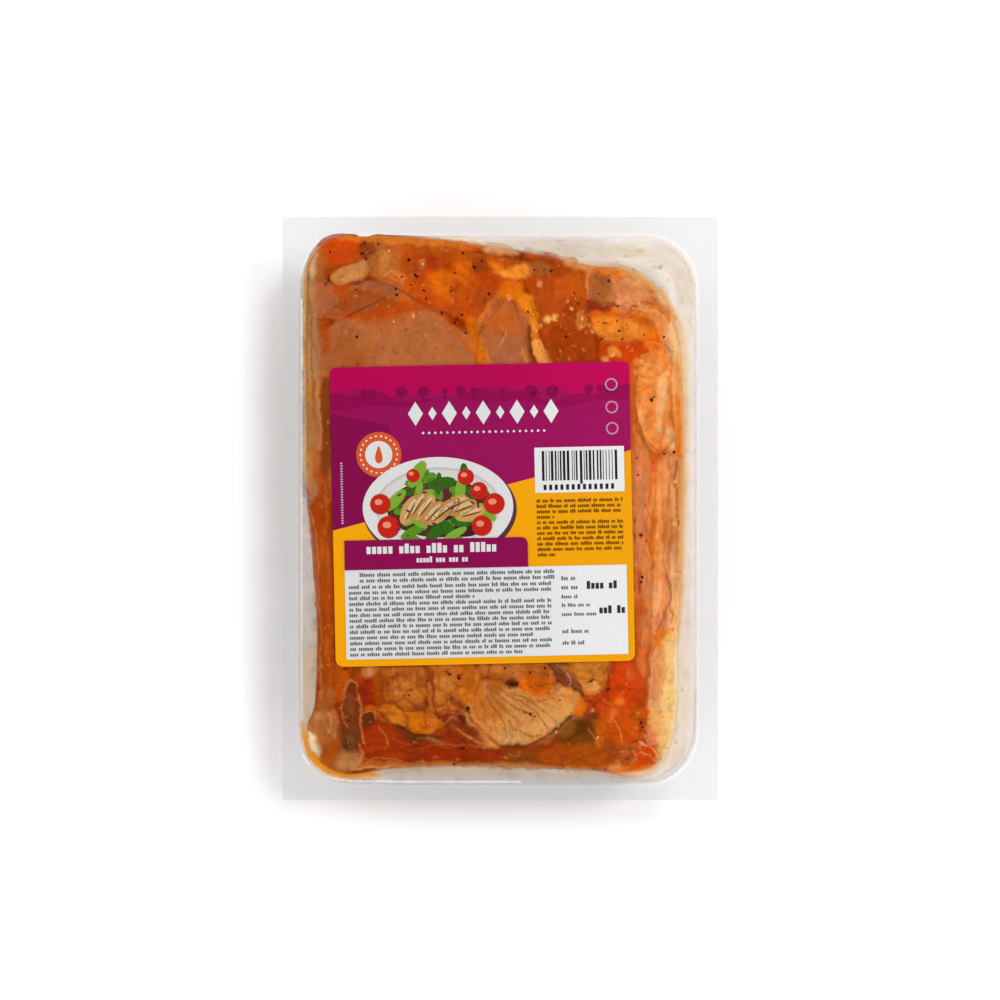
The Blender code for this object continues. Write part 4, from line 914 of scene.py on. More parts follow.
# Round touches: place, half sizes, turn, colour and strength
SPOTS = (
    ((345, 334), (2, 4), 10, (196, 128, 92), 0.5), ((413, 316), (1.6, 3.4), -15, (240, 158, 76), 0.9),
    ((393, 321), (1.8, 1.2), 0, (226, 118, 40), 0.8), ((414, 296), (1.4, 3), 20, (222, 110, 40), 0.6),
    ((452, 300), (1.2, 3), 0, (236, 150, 60), 0.6), ((447, 252), (3, 1), 0, (228, 130, 60), 0.6),
    ((462, 244), (3, 1), 10, (236, 150, 90), 0.5), ((502, 259), (2, 1), 0, (236, 140, 70), 0.6),
    ((512, 330), (3, 2.4), 0, (208, 100, 36), 0.6), ((509, 298), (1.4, 1.4), 0, (248, 180, 110), 0.9),
    ((540, 284), (2.4, 2.6), 0, (232, 144, 92), 0.9), ((537, 299), (1.2, 1.2), 0, (224, 130, 80), 0.6),
    ((547, 319), (3, 3.6), 0, (252, 186, 100), 1.0), ((554, 318), (4, 3), 0, (250, 178, 76), 1.0),
    ((540, 321), (2.6, 2.8), 0, (140, 80, 60), 0.8), ((572, 309), (1.8, 1.8), 0, (238, 160, 120), 0.9),
    ((568, 302), (1.5, 1.6), 0, (226, 140, 80), 0.8), ((564, 316), (1.6, 2), 0, (206, 124, 100), 0.7),
    ((593, 332), (1.8, 2.2), 0, (226, 136, 84), 0.8), ((588, 334), (1.6, 1.6), 0, (206, 112, 76), 0.7),
    ((563, 354), (1.6, 1.2), 0, (200, 110, 70), 0.6), ((590, 326), (3, 1.6), 40, (226, 140, 70), 0.7),
    ((632, 331), (1.6, 1), 0, (248, 170, 80), 0.6), ((631, 350), (1.4, 1), 0, (236, 110, 50), 0.7),
    ((627, 347), (1, 1), 0, (240, 140, 80), 0.6), ((641, 362), (2.4, 2.6), 0, (248, 168, 92), 0.8),
    ((648, 366), (3, 2), 0, (246, 172, 96), 0.6), ((656, 377), (3, 2), -20, (246, 164, 90), 0.6),
    ((636, 372), (3, 2.4), 0, (240, 150, 80), 0.7), ((645, 410), (2, 3), 0, (244, 160, 90), 0.5),
    ((676, 482), (1.8, 1.8), 0, (252, 198, 110), 0.9), ((674, 524), (2.4, 2), -20, (250, 178, 104), 0.9),
    ((663, 463), (1.6, 5), 0, (232, 150, 90), 0.6), ((628, 672), (3, 2), 0, (214, 104, 64), 0.6),
    ((622, 692), (1.8, 1.6), 0, (230, 100, 40), 0.7), ((598, 738), (1.4, 1.4), 0, (236, 170, 96), 0.9),
    ((594, 711), (1.4, 2.4), 0, (236, 150, 100), 0.8), ((557, 733), (1.4, 1.8), 0, (236, 140, 80), 0.8),
    ((546, 736), (1.6, 2.4), 0, (200, 110, 50), 0.7), ((638, 712), (2, 2), 0, (230, 130, 60), 0.6),
    ((636, 729), (2.4, 2.4), 0, (226, 110, 56), 0.7), ((644, 727), (2, 2), 0, (214, 120, 50), 0.6),
    ((458, 677), (3.4, 2.2), 0, (128, 36, 14), 0.9), ((449, 673), (2.4, 2), 0, (84, 44, 20), 0.9),
    ((512, 684), (5, 2.6), 5, (84, 36, 14), 0.85), ((469, 710), (2.4, 5), -20, (64, 28, 12), 0.9),
    ((462, 719), (5, 3.6), 20, (78, 32, 16), 0.85), ((462, 749), (4, 2), -10, (96, 30, 6), 0.85),
    ((362, 691), (7, 5), 0, (126, 32, 4), 0.7), ((480, 749), (3, 1.6), 10, (120, 40, 8), 0.6),
    ((436, 757), (3, 1.4), 0, (206, 110, 50), 0.5), ((506, 757), (1.6, 1), 0, (236, 150, 80), 0.8),
    ((388, 762), (2, 1), 0, (214, 110, 50), 0.6), ((370, 744), (4, 2), 0, (130, 40, 8), 0.6),
    ((384, 748), (2, 1.6), 0, (190, 90, 44), 0.6), ((334, 733), (3, 4), 0, (190, 124, 84), 0.6),
    ((318, 716), (4, 4), 0, (200, 140, 96), 0.6), ((327, 730), (2, 3), 0, (206, 140, 100), 0.6),
    ((344, 669), (3, 2), 0, (96, 44, 20), 0.8), ((330, 700), (3, 1.4), 0, (150, 110, 70), 0.5),
    ((328, 500), (3, 2), 0, (200, 110, 50), 0.6), ((322, 506), (2, 2), 0, (206, 120, 60), 0.6),
    ((320, 480), (4, 5), 0, (190, 92, 30), 0.6), ((326, 540), (2, 3), 0, (150, 60, 20), 0.6),
    ((641, 536), (2, 3), 0, (118, 24, 8), 0.9), ((646, 541), (1, 2), 0, (160, 80, 40), 0.7),
    ((651, 400), (3, 1.8), 40, (96, 38, 10), 0.9), ((653, 398), (1.6, 1), 40, (190, 100, 40), 0.4),
)

# The part of the photograph that the painting covers, in its pixels, and the painting's cells per pixel
CANVAS_AT = (296, 228)
CANVAS_SIZE = (410, 566)
CELLS = 1.5

# How the shapes' edges wander: size in millimetres, reach in pixels, octaves and the two seeds
WANDER = ((3.2, 5.0, 3, (201, 202)), (0.9, 2.4, 2, (203, 204)))

# Fine flecks strewn over everything: colour and strength
FLECKS = (
    ((238, 150, 66), 0.5), ((120, 50, 12), 0.6), ((176, 56, 6), 0.6), ((216, 140, 84), 0.45),
    ((96, 40, 12), 0.5),
)
FLECK_COUNT = 2200
FLECKS_FROM = (304, 238)
FLECKS_TO = (682, 772)

FAR_AWAY = 1e9
TINY = 1e-9
CURVE_END_GAP = 1e-6


def catmull_rom(a, b, c, d, f):
    """Points a share f of the way from b to c, on a smooth curve through a, b, c and d."""
    return 0.5 * (2 * b + (c - a) * f + (2 * a - 5 * b + 4 * c - d) * f**2 + (3 * b - a - 3 * c + d) * f**3)


def open_curve(points, count):
    """count points evenly along a smooth open curve through the given points."""
    ends = np.vstack([2 * points[0] - points[1], points, 2 * points[-1] - points[-2]])
    t = np.linspace(0, len(points) - 1 - CURVE_END_GAP, count)
    k = np.floor(t).astype(int)
    f = (t - k)[:, None]
    return catmull_rom(*(ends[k + shift] for shift in range(4)), f)


def line_distance(x, y, p, q):
    """The square of how far each place lies from the straight line between p and q."""
    ex, ey = q - p
    dx, dy = x - p[0], y - p[1]
    t = np.clip((dx * ex + dy * ey) / (ex * ex + ey * ey + TINY), 0, 1)
    return (dx - t * ex) ** 2 + (dy - t * ey) ** 2


class Canvas:
    """The pack's top as a painting, in the photograph's pixels, with colours and heights."""

    def __init__(self):
        columns = CANVAS_AT[0] + np.arange(int(CANVAS_SIZE[0] * CELLS)) / CELLS
        rows = CANVAS_AT[1] + np.arange(int(CANVAS_SIZE[1] * CELLS)) / CELLS
        self.x, self.y = np.meshgrid(columns, rows)
        self.mm = at(self.x, self.y)
        self.bent_x, self.bent_y = self.x, self.y
        for size, reach, octaves, seeds in WANDER:
            self.bent_x = self.bent_x + reach * (fbm(*self.mm, size, seeds[0], octaves) - 0.5)
            self.bent_y = self.bent_y + reach * (fbm(*self.mm, size, seeds[1], octaves) - 0.5)
        self.colour = np.tile(SAUCE_DEEP, (*self.x.shape, 1))
        self.lift = np.zeros(self.x.shape)
        self.inside = np.full(self.x.shape, -9.0)
        self.owner = np.full(self.x.shape, -1)

    def window(self, points, margin):
        """The part of the canvas round the points, and its bent places."""
        lo = np.floor((points.min(0) - margin - CANVAS_AT) * CELLS).astype(int)
        hi = np.ceil((points.max(0) + margin - CANVAS_AT) * CELLS).astype(int)
        part = (slice(max(lo[1], 0), max(hi[1], 0)), slice(max(lo[0], 0), max(hi[0], 0)))
        return part, self.bent_x[part], self.bent_y[part]

    def lay(self, part, share, colour, lift=0.0):
        """Mixes a colour into a window, and raises or sinks it."""
        self.colour[part] = mix(self.colour[part], colour, share)
        self.lift[part] += lift * share

    def signed_distance(self, line, margin):
        """How far inside a closed line each place of a window lies, negative outside it."""
        part, x, y = self.window(line, margin)
        far = np.full(x.shape, FAR_AWAY)
        inside = np.zeros(x.shape, bool)
        for p, q in zip(line, np.roll(line, -1, axis=0)):
            far = np.minimum(far, line_distance(x, y, p, q))
            ex, ey = q - p
            if ey:
                inside ^= ((p[1] > y) != (q[1] > y)) & (x - p[0] < (y - p[1]) * ex / ey)
        return part, np.where(inside, 1, -1) * np.sqrt(far)

    def piece(self, index, outline_mm, colour):
        """A piece of food: its colour, and how far inside its outline each place lies."""
        line = np.column_stack([outline_mm[:, 0], -outline_mm[:, 1]]) / PHOTO_SCALE + PHOTO_MIDDLE
        part, depth = self.signed_distance(line, 6)
        best = depth > self.inside[part]
        self.inside[part] = np.where(best, depth, self.inside[part])
        self.owner[part] = np.where(best, index, self.owner[part])
        self.lay(part, smooth(depth, -2.5, 1.5), colour)

    def wash(self, points, colour, strength, soft, lift=0.0):
        """A soft-edged shape."""
        line = closed_curve(np.array(points, float), 5 * len(points))
        part, depth = self.signed_distance(line, soft + 6)
        self.lay(part, strength * smooth(depth, -soft, soft), colour, lift)

    def stroke(self, points, width, colour, strength, lift):
        """A thin soft line through points."""
        line = open_curve(np.array(points, float), 4 * len(points))
        part, x, y = self.window(line, 3 * width + 4)
        far = np.full(x.shape, FAR_AWAY)
        for p, q in zip(line[:-1], line[1:]):
            far = np.minimum(far, line_distance(x, y, p, q))
        self.lay(part, strength * np.exp(-far / (width * width)), colour, lift)

    def spot(self, place, half, turn, colour, strength):
        """A soft oval, turned by degrees."""
        part, x, y = self.window(np.array([place], float), 2 * max(half) + 4)
        a, b = math.cos(math.radians(turn)), math.sin(math.radians(turn))
        u = (a * (x - place[0]) + b * (y - place[1])) / half[0]
        v = (-b * (x - place[0]) + a * (y - place[1])) / half[1]
        self.lay(part, strength * np.exp(-((u * u + v * v) ** 2)), colour)

    def sample(self, layer, x, y):
        """A layer's value at places in millimetres."""
        u = (x / PHOTO_SCALE + PHOTO_MIDDLE[0] - CANVAS_AT[0]) * CELLS
        v = (PHOTO_MIDDLE[1] - y / PHOTO_SCALE - CANVAS_AT[1]) * CELLS
        u = np.clip(u, 0, layer.shape[1] - 1.001)
        v = np.clip(v, 0, layer.shape[0] - 1.001)
        i, j = u.astype(int), v.astype(int)
        f, g = u - i, v - j
        if layer.ndim == 3:
            f, g = f[:, None], g[:, None]
        low = layer[j, i] * (1 - f) + layer[j, i + 1] * f
        high = layer[j + 1, i] * (1 - f) + layer[j + 1, i + 1] * f
        return low * (1 - g) + high * g


def closed_curve(points, count):
    """count points evenly along a smooth closed curve through the given points."""
    n = len(points)
    t = np.linspace(0, n, 24 * n, endpoint=False)
    k = np.floor(t).astype(int)
    f = (t - k)[:, None]
    return closed_line(catmull_rom(*(points[(k + shift) % n] for shift in (-1, 0, 1, 2)), f), count)


def closed_line(points, count):
    """count points evenly along a closed line of straight pieces."""
    ends = np.vstack([points, points[:1]])
    along = np.concatenate([[0], np.cumsum(np.hypot(*np.diff(ends, axis=0).T))])
    even = np.linspace(0, along[-1], count, endpoint=False)
    return np.column_stack([np.interp(even, along, ends[:, 0]), np.interp(even, along, ends[:, 1])])


def cad_points(name):
    """A node's points in millimetres, without repeats."""
    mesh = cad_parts[name].data
    raw = np.empty(len(mesh.vertices) * 3, np.float32)
    mesh.vertices.foreach_get("co", raw)
    return np.unique(np.round(raw.reshape(-1, 3) * 1000.0, 2), axis=0)


# On a CAD piece: the ring above its foot that is widest, and a height that only its top passes
WIDEST_OVER_FOOT = 2.0
CROWN_FROM = 24.0
SAME_LEVEL = 0.1


def cad_outline(name):
    """The middle and the widest ring of a piece, from its node."""
    points = cad_points(name)
    foot = points[np.abs(points[:, 2] - PIECE_BOTTOM) < SAME_LEVEL][:, :2]
    crown = points[points[:, 2] > CROWN_FROM][:, :2]
    apart = np.abs(foot[:, None] - crown[None]).sum(2).min(1)
    middle = foot[apart.argmin()]
    ring = points[np.abs(points[:, 2] - PIECE_BOTTOM - WIDEST_OVER_FOOT) < SAME_LEVEL][:, :2]
    out = ring - middle
    return middle, ring[np.argsort(np.arctan2(out[:, 1], out[:, 0]))]


# The food's outline under the film, in the photograph's pixels
SHOWN_OUTLINE = (
    (307, 300), (309, 268), (318, 249), (336, 237), (362, 235), (430, 238), (500, 248), (545, 256),
    (590, 266), (620, 268), (646, 280), (664, 295), (675, 318), (681, 350), (684, 400), (685, 470),
    (683, 540), (681, 600), (678, 660), (677, 715), (668, 752), (652, 771), (620, 775), (590, 770),
    (500, 766), (400, 768), (350, 774), (324, 765), (310, 745), (307, 726), (315, 700), (317, 620),
    (314, 545), (309, 510), (307, 400),
)

# The outermost band of the pieces is spread to it, in full from a little inside the CAD's edge
STRETCH_BAND = 9.0
STRETCH_FULL = 0.4

# Below this level a piece's sides keep to its CAD outline
LOW_LEVEL = 16.3

# Points of the rings that measure how far the food reaches
RING_POINTS = 400


def reach_by_angle(outline):
    """A function from angles to an outline's distance from the pack's middle."""
    angle = np.arctan2(outline[:, 1], outline[:, 0])
    order = np.argsort(angle)
    far = np.hypot(*outline[order].T)
    return lambda wanted: np.interp(wanted, angle[order], far, period=2 * math.pi)


def bed_outline(z):
    """The bed's ring at one of its levels, sorted round the pack."""
    points = cad_points("meat_bed")
    ring = points[np.abs(points[:, 2] - z) < 0.06][:, :2]
    ring = ring[np.hypot(*ring.T) > 5]
    return ring[np.argsort(np.arctan2(ring[:, 1], ring[:, 0]))]


BED_LEVELS = sorted({round(z, 1) for z in cad_points("meat_bed")[:, 2]})
cad_reach = reach_by_angle(closed_curve(bed_outline(BED_LEVELS[-2]), RING_POINTS))
shown_line = np.column_stack(at(*np.array(SHOWN_OUTLINE, float).T))
shown_reach = reach_by_angle(closed_curve(shown_line, RING_POINTS))


def stretched(points):
    """Places of the CAD pieces, with the outermost band spread to the outline that shows."""
    angle = np.arctan2(points[:, 1], points[:, 0])
    far = np.hypot(*points.T)
    edge = cad_reach(angle)
    more = (shown_reach(angle) / edge - 1) * smooth(far, edge - STRETCH_BAND, edge - STRETCH_FULL)
    return points * (1 + more)[:, None]


def depth_inside(x, y):
    """How far inside the shown outline a place lies, in millimetres, negative outside it."""
    return shown_reach(np.arctan2(y, x)) - np.hypot(x, y)


def fibre_groove(x, y, fibres, seed):
    """Grooves between muscle bundles: 1 on a bundle and 0 in a groove."""
    kind, direction, pitch, _ = fibres
    bend = 2.4 * (fbm(x, y, 10, seed + 5, 3) - 0.5)
    if kind == "line":
        turn = math.radians(direction)
        phase = (-x * math.sin(turn) + y * math.cos(turn)) / pitch + bend
    else:
        dx, dy = x - direction[0], y - direction[1]
        phase = np.degrees(np.arctan2(dy, dx)) / pitch + bend * (0.6 + 0.03 * np.hypot(dx, dy))
    broken = smooth(fbm(x, y, 4, seed + 9, 3), 0.35, 0.6)
    return 1 - (1 - smooth(np.abs(np.sin(math.pi * phase)), 0.0, 0.35)) * broken


def lobes(x, y, size, seed):
    """Distances in cells to the nearest of scattered points, and from there to the next nearest."""
    table = np.random.default_rng(seed).random((64, 64, 2))
    u = x / size + 0.9 * (fbm(x, y, size, seed + 1, 2) - 0.5)
    v = y / size + 0.9 * (fbm(x, y, size, seed + 2, 2) - 0.5)
    i, j = np.floor(u).astype(int), np.floor(v).astype(int)
    near = np.full(x.shape, 9.0)
    second = near.copy()
    for di in (-1, 0, 1):
        for dj in (-1, 0, 1):
            spot = table[(i + di) % 64, (j + dj) % 64]
            far = np.hypot(i + di + spot[:, 0] - u, j + dj + spot[:, 1] - v)
            second = np.minimum(second, np.maximum(near, far))
            near = np.minimum(near, far)
    return near, second - near


# What a dark line, a light line or a patch does to the colour under it, by channel
WARM_TINT = (1.10, 0.92, 0.55)
# The lobe tint paints shade into the creases between lobes
LOBE_CREASE_SHADE = (0.66, 0.46, 0.28)
PALE_TINT = (1.14, 1.22, 1.4)
GROOVE_TINT = (0.72, 0.55, 0.4)
# The wrinkle tint paints shade into fine creases, and the glint tint paints a highlight beside each
WRINKLE_SHADE = (0.66, 0.48, 0.3)
GLINT_TINT = (1.16, 1.3, 1.6)
SEAM_TINT = (0.55, 0.36, 0.2)

# Wrinkles: size in millimetres and strength, the noise's level of the line of painted shade and of the
# painted glint beside it, and its width
WRINKLES = ((5.0, 0.5), (2.4, 0.35))
SHADE_LEVEL, GLINT_LEVEL = 0.48, 0.52
LEVEL_WIDTH = 0.016
WRINKLE_DEPTH = 0.08

# Seams between the pieces, in millimetres
SEAM_WIDTH = 0.45
SEAM_SLOPE = 1.3
SEAM_DEPTH = 0.22
SEAM_FADE = (0.3, 2.0)

# On the right the food's edge goes over into oil, from one colour to another down the side
FEATHER_FROM_X = (30, 50)
FEATHER_DOWN_Y = (30, 52)
FEATHER_TOP = tone(255, 190, 104)
FEATHER_LOW = tone(252, 224, 186)


def tinted(colour, tint, share):
    """Colours with a share of themselves multiplied by a tint."""
    return mix(colour, colour * tint, share)


def paint_lobes(x, y, colour, lift, grain, index):
    """Rounded lobes in two sizes, with painted shade in the creases and painted domed shading on each."""
    _, width, deep, dark = grain
    for size, weight in ((width, 1.0), (0.45 * width, 0.5)):
        near, apart = lobes(x, y, size, 300 + index)
        open_share = smooth(fbm(x, y, size, 340 + index, 2), 0.35, 0.65)
        crease = (1 - smooth(apart, 0.0, 0.3)) * open_share * weight
        lift = lift - deep * (0.5 * crease + 0.5 * weight * near**2)
        # Painted shade in the creases, and painted light and shade: each lobe lighter in its middle, darker
        # at its edge
        colour = tinted(colour, LOBE_CREASE_SHADE, dark * crease)
        colour = colour * (1 + weight * dark * (0.24 - 0.46 * near))[:, None]
    return colour, lift


def paint_fibres(x, y, colour, lift, grain, index, fade):
    """Muscle fibres: long streaks if they run straight, and grooves between bundles."""
    kind, direction, _, deep = grain
    dark = 0.75
    if kind == "line":
        dark = 0.5
        turn = math.radians(direction)
        along = x * math.cos(turn) + y * math.sin(turn)
        across = -x * math.sin(turn) + y * math.cos(turn)
        colour = colour * (0.72 + 0.56 * fbm(along * 0.18, across, 1.5, 400 + index, 4))[:, None]
        pale = smooth(fbm(along * 0.12, across, 1.2, 500 + index, 3), 0.56, 0.74)
        colour = tinted(colour, PALE_TINT, 0.8 * pale)
    groove = (1 - fibre_groove(x, y, grain, 9 + index)) * fade
    return tinted(colour, GROOVE_TINT, dark * groove), lift - deep * groove


def paint_wrinkles(x, y, colour, lift, rough, straight, index):
    """Fine lines of painted crease shade with a painted glint beside each, where noise passes two levels."""
    for k, (size, amount) in enumerate(WRINKLES):
        height = fbm(x, y, size, 600 + 10 * k + index, 3)
        weight = amount * smooth(rough, 0.02, 0.2) * smooth(fbm(x, y, 4, 640 + k, 2), 0.4, 0.6)
        if straight:
            weight = 0.35 * weight
        dark = weight * (1 - smooth(np.abs(height - SHADE_LEVEL), 0.0, LEVEL_WIDTH))
        light = weight * (1 - smooth(np.abs(height - GLINT_LEVEL), 0.0, LEVEL_WIDTH))
        # The dark line is painted crease shade, the light one a painted glint
        colour = tinted(tinted(colour, WRINKLE_SHADE, dark), GLINT_TINT, light)
        lift = lift - WRINKLE_DEPTH * dark
    return colour, lift


def paint_piece_grain(x, y, colour, lift, depth, look, index):
    """One piece's relief, grain and wrinkles, with their painted shade and glints."""
    rough, grain = look[2:]
    kind = grain[0] if grain else None
    relief = 1.2 * np.abs(fbm(x, y, 6, 31 + index, 3) - 0.5) + 0.5 * (fbm(x, y, 2.2, 71 + index, 3) - 0.5)
    lift = lift - rough * np.clip(relief + 0.1, 0, None)
    if kind == "lobes":
        colour, lift = paint_lobes(x, y, colour, lift, grain, index)
    elif kind:
        colour, lift = paint_fibres(x, y, colour, lift, grain, index, smooth(depth, 0.2, 1.4))
    return paint_wrinkles(x, y, colour, lift, rough, kind == "line", index)


def paint_seams(x, y, colour, lift, depth, seam_share):
    """Dark sunken seams between the pieces, and the light feathered edge on the right."""
    broken = 0.35 + 0.65 * smooth(fbm(x, y, 7, 221, 3), 0.4, 0.6)
    outer = depth_inside(x, y)
    seam_share = seam_share * smooth(outer, *SEAM_FADE)
    line = np.exp(-((np.clip(depth, 0, None) / SEAM_WIDTH) ** 2)) * seam_share * broken
    colour = tinted(colour, SEAM_TINT, 0.55 * line)
    feather = (1 - smooth(outer, 0.0, 2.0)) * smooth(x, *FEATHER_FROM_X)
    edge_colour = mix(FEATHER_TOP, FEATHER_LOW, smooth(-y, *FEATHER_DOWN_Y))
    inward = np.clip(1 - depth / SEAM_SLOPE, 0, 1)
    return mix(colour, edge_colour, 0.8 * feather), lift - SEAM_DEPTH * seam_share * broken * inward**2


def paint_details(canvas):
    """Flecks, strokes and spots over everything."""
    rng = np.random.default_rng(77)
    for _ in range(FLECK_COUNT):
        place = tuple(rng.uniform(low, high) for low, high in zip(FLECKS_FROM, FLECKS_TO))
        tint, strength = FLECKS[rng.integers(len(FLECKS))]
        size = rng.uniform(0.5, 1.5)
        canvas.spot(place, (size, size * rng.uniform(0.5, 1.0)), rng.uniform(0, 180), tone(*tint), strength)
    for points, width, tint, strength, raised in STROKES.values():
        canvas.stroke(points, width, tone(*tint), strength, raised)
    for place, half, turn, tint, strength in SPOTS:
        canvas.spot(place, half, turn, tone(*tint), strength)


def paint_food():
    """The whole painting: pieces, washes, grain, seams and details. It also gives the pieces' outlines."""
    canvas = Canvas()
    outlines = {}
    for name in LOOKS:
        middle, ring = cad_outline(name)
        outlines[name] = (middle, ring, stretched(ring))
    for index, (name, look) in enumerate(LOOKS.items()):
        canvas.piece(index, closed_curve(outlines[name][2], 60), tone(*look[0]))
    for outline, tint, strength, soft in WASHES.values():
        canvas.wash(outline, tone(*tint), strength, soft)
    x, y = (places.ravel() for places in canvas.mm)
    owner = canvas.owner.ravel()
    depth = canvas.inside.ravel() * PHOTO_SCALE
    lift = canvas.lift.ravel()
    colour = canvas.colour.reshape(-1, 3)
    colour = colour * (0.66 + 0.34 * fbm(x, y, 3.0, 211, 4) + 0.26 * fbm(x, y, 1.1, 212, 3))[:, None]
    colour = tinted(colour, WARM_TINT, 0.5 * smooth(fbm(x, y, 5.5, 213, 4), 0.5, 0.72))
    seam_share = np.zeros(len(x))
    for index, look in enumerate(LOOKS.values()):
        mine = owner == index
        seam_share[mine] = 0.6 * look[1]
        colour[mine], lift[mine] = paint_piece_grain(
            x[mine], y[mine], colour[mine], lift[mine], depth[mine], look, index)
    colour, lift = paint_seams(x, y, colour, lift, depth, seam_share)
    canvas.colour = colour.reshape(canvas.colour.shape)
    canvas.lift = lift.reshape(canvas.lift.shape)
    paint_details(canvas)
    return canvas, outlines


canvas, outlines = paint_food()

# The food's pieces

FOOD_UNDER_FILM = 0.14
DEEPEST = 1.5
SAUCE_UNDER_FOOD = 0.10
PIECE_GROWTH = 0.55

# How far apart a piece's points are where it shows, and under the label, and the fewest and most on a ring
SHOWN_STEP = 0.4
HIDDEN_STEP = 1.4
RING_LIMITS = (36, 420)

# How far below its top's edge the rings of a piece's sides lie
SIDE_DROPS = (1.2, 3.5, 7.0, 11.0)


def spot_share(x, y, place, half):
    """1 in the middle of an oval zone, given in the photograph's pixels, and falling to 0 past its edge."""
    cx, cy = at(*place)
    u = (x - cx) / (half[0] * PHOTO_SCALE)
    v = (y - cy) / (half[1] * PHOTO_SCALE)
    return np.exp(-((u * u + v * v) ** 1.5))


def under_label(x, y):
    """How far inside the label's edge a place lies."""
    a, b = math.cos(LABEL_TURN), math.sin(LABEL_TURN)
    dx, dy = x - LABEL_AT[0], y - LABEL_AT[1]
    return LABEL_HALF - np.maximum(np.abs(a * dx + b * dy), np.abs(-b * dx + a * dy))


def top_height(x, y):
    """Height of the food's top."""
    return film_under(x, y) - FOOD_UNDER_FILM + np.clip(canvas.sample(canvas.lift, x, y), -DEEPEST, 0)


def ring_shares(middle, grow, step):
    """Shares of the way out for a piece's rings, close together except where the label hides them."""
    reach = np.hypot(*grow.T).mean()
    step = min(step, reach / 10)
    shares = [1.0]
    while shares[-1] * reach > 2 * step:
        ring = middle + grow * shares[-1]
        seen = bool((under_label(ring[:, 0], ring[:, 1]) < 1.0).any())
        shares.append(shares[-1] - (step if seen else 4 * step) / reach)
    return [share for share in shares[::-1] if share * reach > 0.5 * step]


def build_piece(name):
    """One piece of food over its CAD solid: a top that follows the painting, and streaked sides."""
    middle, ring, shown = outlines[name]
    seed = sum(map(ord, name)) % 97
    length = np.hypot(*(ring - np.roll(ring, 1, axis=0)).T).sum()
    hidden = bool((under_label(ring[:, 0], ring[:, 1]) > 1.5).all())
    step = HIDDEN_STEP if hidden else SHOWN_STEP
    count = int(np.clip(length / step, *RING_LIMITS))
    low_ring = closed_curve(ring, count)
    outline = closed_curve(shown, count)
    grow = outline - middle
    outline = middle + grow * (1 + PIECE_GROWTH / np.hypot(*grow.T))[:, None]
    shares = ring_shares(middle, outline - middle, step)
    flat = np.concatenate([middle[None]] + [middle + (outline - middle) * share for share in shares])
    x, y = flat.T
    tops = np.column_stack([x, y, top_height(x, y)])
    last = tops[-count:]
    base = tone(*LOOKS[name][0])
    sides, side_colours = [], []
    for drop in (*SIDE_DROPS, last[:, 2] - PIECE_BOTTOM):
        z = last[:, 2] - drop
        share = np.clip((z - LOW_LEVEL) / (FLANGE_TOP - LOW_LEVEL), 0, 1)[:, None]
        low = np.column_stack([low_ring * (1 - share) + last[:, :2] * share, z])
        sides.append(low)
        streak = fbm(low[:, 0] * 2 + low[:, 1], low[:, 2] * 2, 4, seed + 50, 3)
        side_colours.append(mix(base, SAUCE_DEEP, smooth(streak, 0.35, 0.65)))
    points = np.concatenate([tops] + sides + [[[*middle, PIECE_BOTTOM]]])
    colours = np.concatenate([canvas.sample(canvas.colour, x, y)] + side_colours + [SAUCE_DEEP[None]])
    rings = len(shares) + len(sides)
    faces = [face[::-1] for face in tip_faces(1, count, 0, up=False)]
    faces += [face[::-1] for face in ring_faces(count, rings, start=1)]
    faces += [face[::-1] for face in tip_faces(1 + (rings - 1) * count, count, len(points) - 1, up=True)]
    piece = new_mesh("food_" + name, points, faces, MEAT, np.clip(colours, 0, 1))
    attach(piece, "root")
    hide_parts(name)


for node_name in LOOKS:
    build_piece(node_name)


# The bed's rings: points on each, and how far out they lie on its flat underside
BED_RING = 420
BED_FLOOR_SHARES = np.arange(0.96, 0.02, -0.025)
BED_MEAT = tone(182, 92, 40)


def bed_side(ring, z):
    """One ring of the bed's side, a little dented, and its colours."""
    angle = np.unwrap(np.arctan2(ring[:, 1], ring[:, 0]))
    dent = 0.012 * fbm(angle * 30 / math.pi, np.full_like(angle, z / 2), 3, 71, 3)
    patch = fbm(ring[:, 0], ring[:, 1] + 3 * z, 7, 72, 4)
    colour = mix(tone(186, 84, 24), tone(206, 140, 84), smooth(patch, 0.5, 0.7))
    sauce = smooth(fbm(ring[:, 0] + z, ring[:, 1], 3, 73, 3), 0.5, 0.7)
    level = np.column_stack([ring * (1 - dent)[:, None], np.full(len(ring), z)])
    return level, mix(colour, SAUCE_DEEP, sauce)


def bed_floor(x, y):
    """The colours of the bed's underside: large pieces of meat and fat with sauce between them."""
    apart = lobes(x, y, 38.0, 90)[1]
    seam = (1 - smooth(apart, 0.0, 0.16)) * smooth(fbm(x, y, 12, 77, 3), 0.36, 0.6)
    colour = mix(BED_MEAT, tone(206, 130, 84), smooth(fbm(x, y, 16, 74, 4), 0.4, 0.62))
    colour = mix(colour, tone(222, 160, 96), 0.8 * smooth(fbm(x, y, 9, 75, 4), 0.58, 0.68))
    colour = colour * (0.72 + 0.56 * fbm(x * 0.3 + y, y * 0.3 - x, 4, 76, 4))[:, None]
    return mix(colour, SAUCE_DEEP, 0.75 * seam)


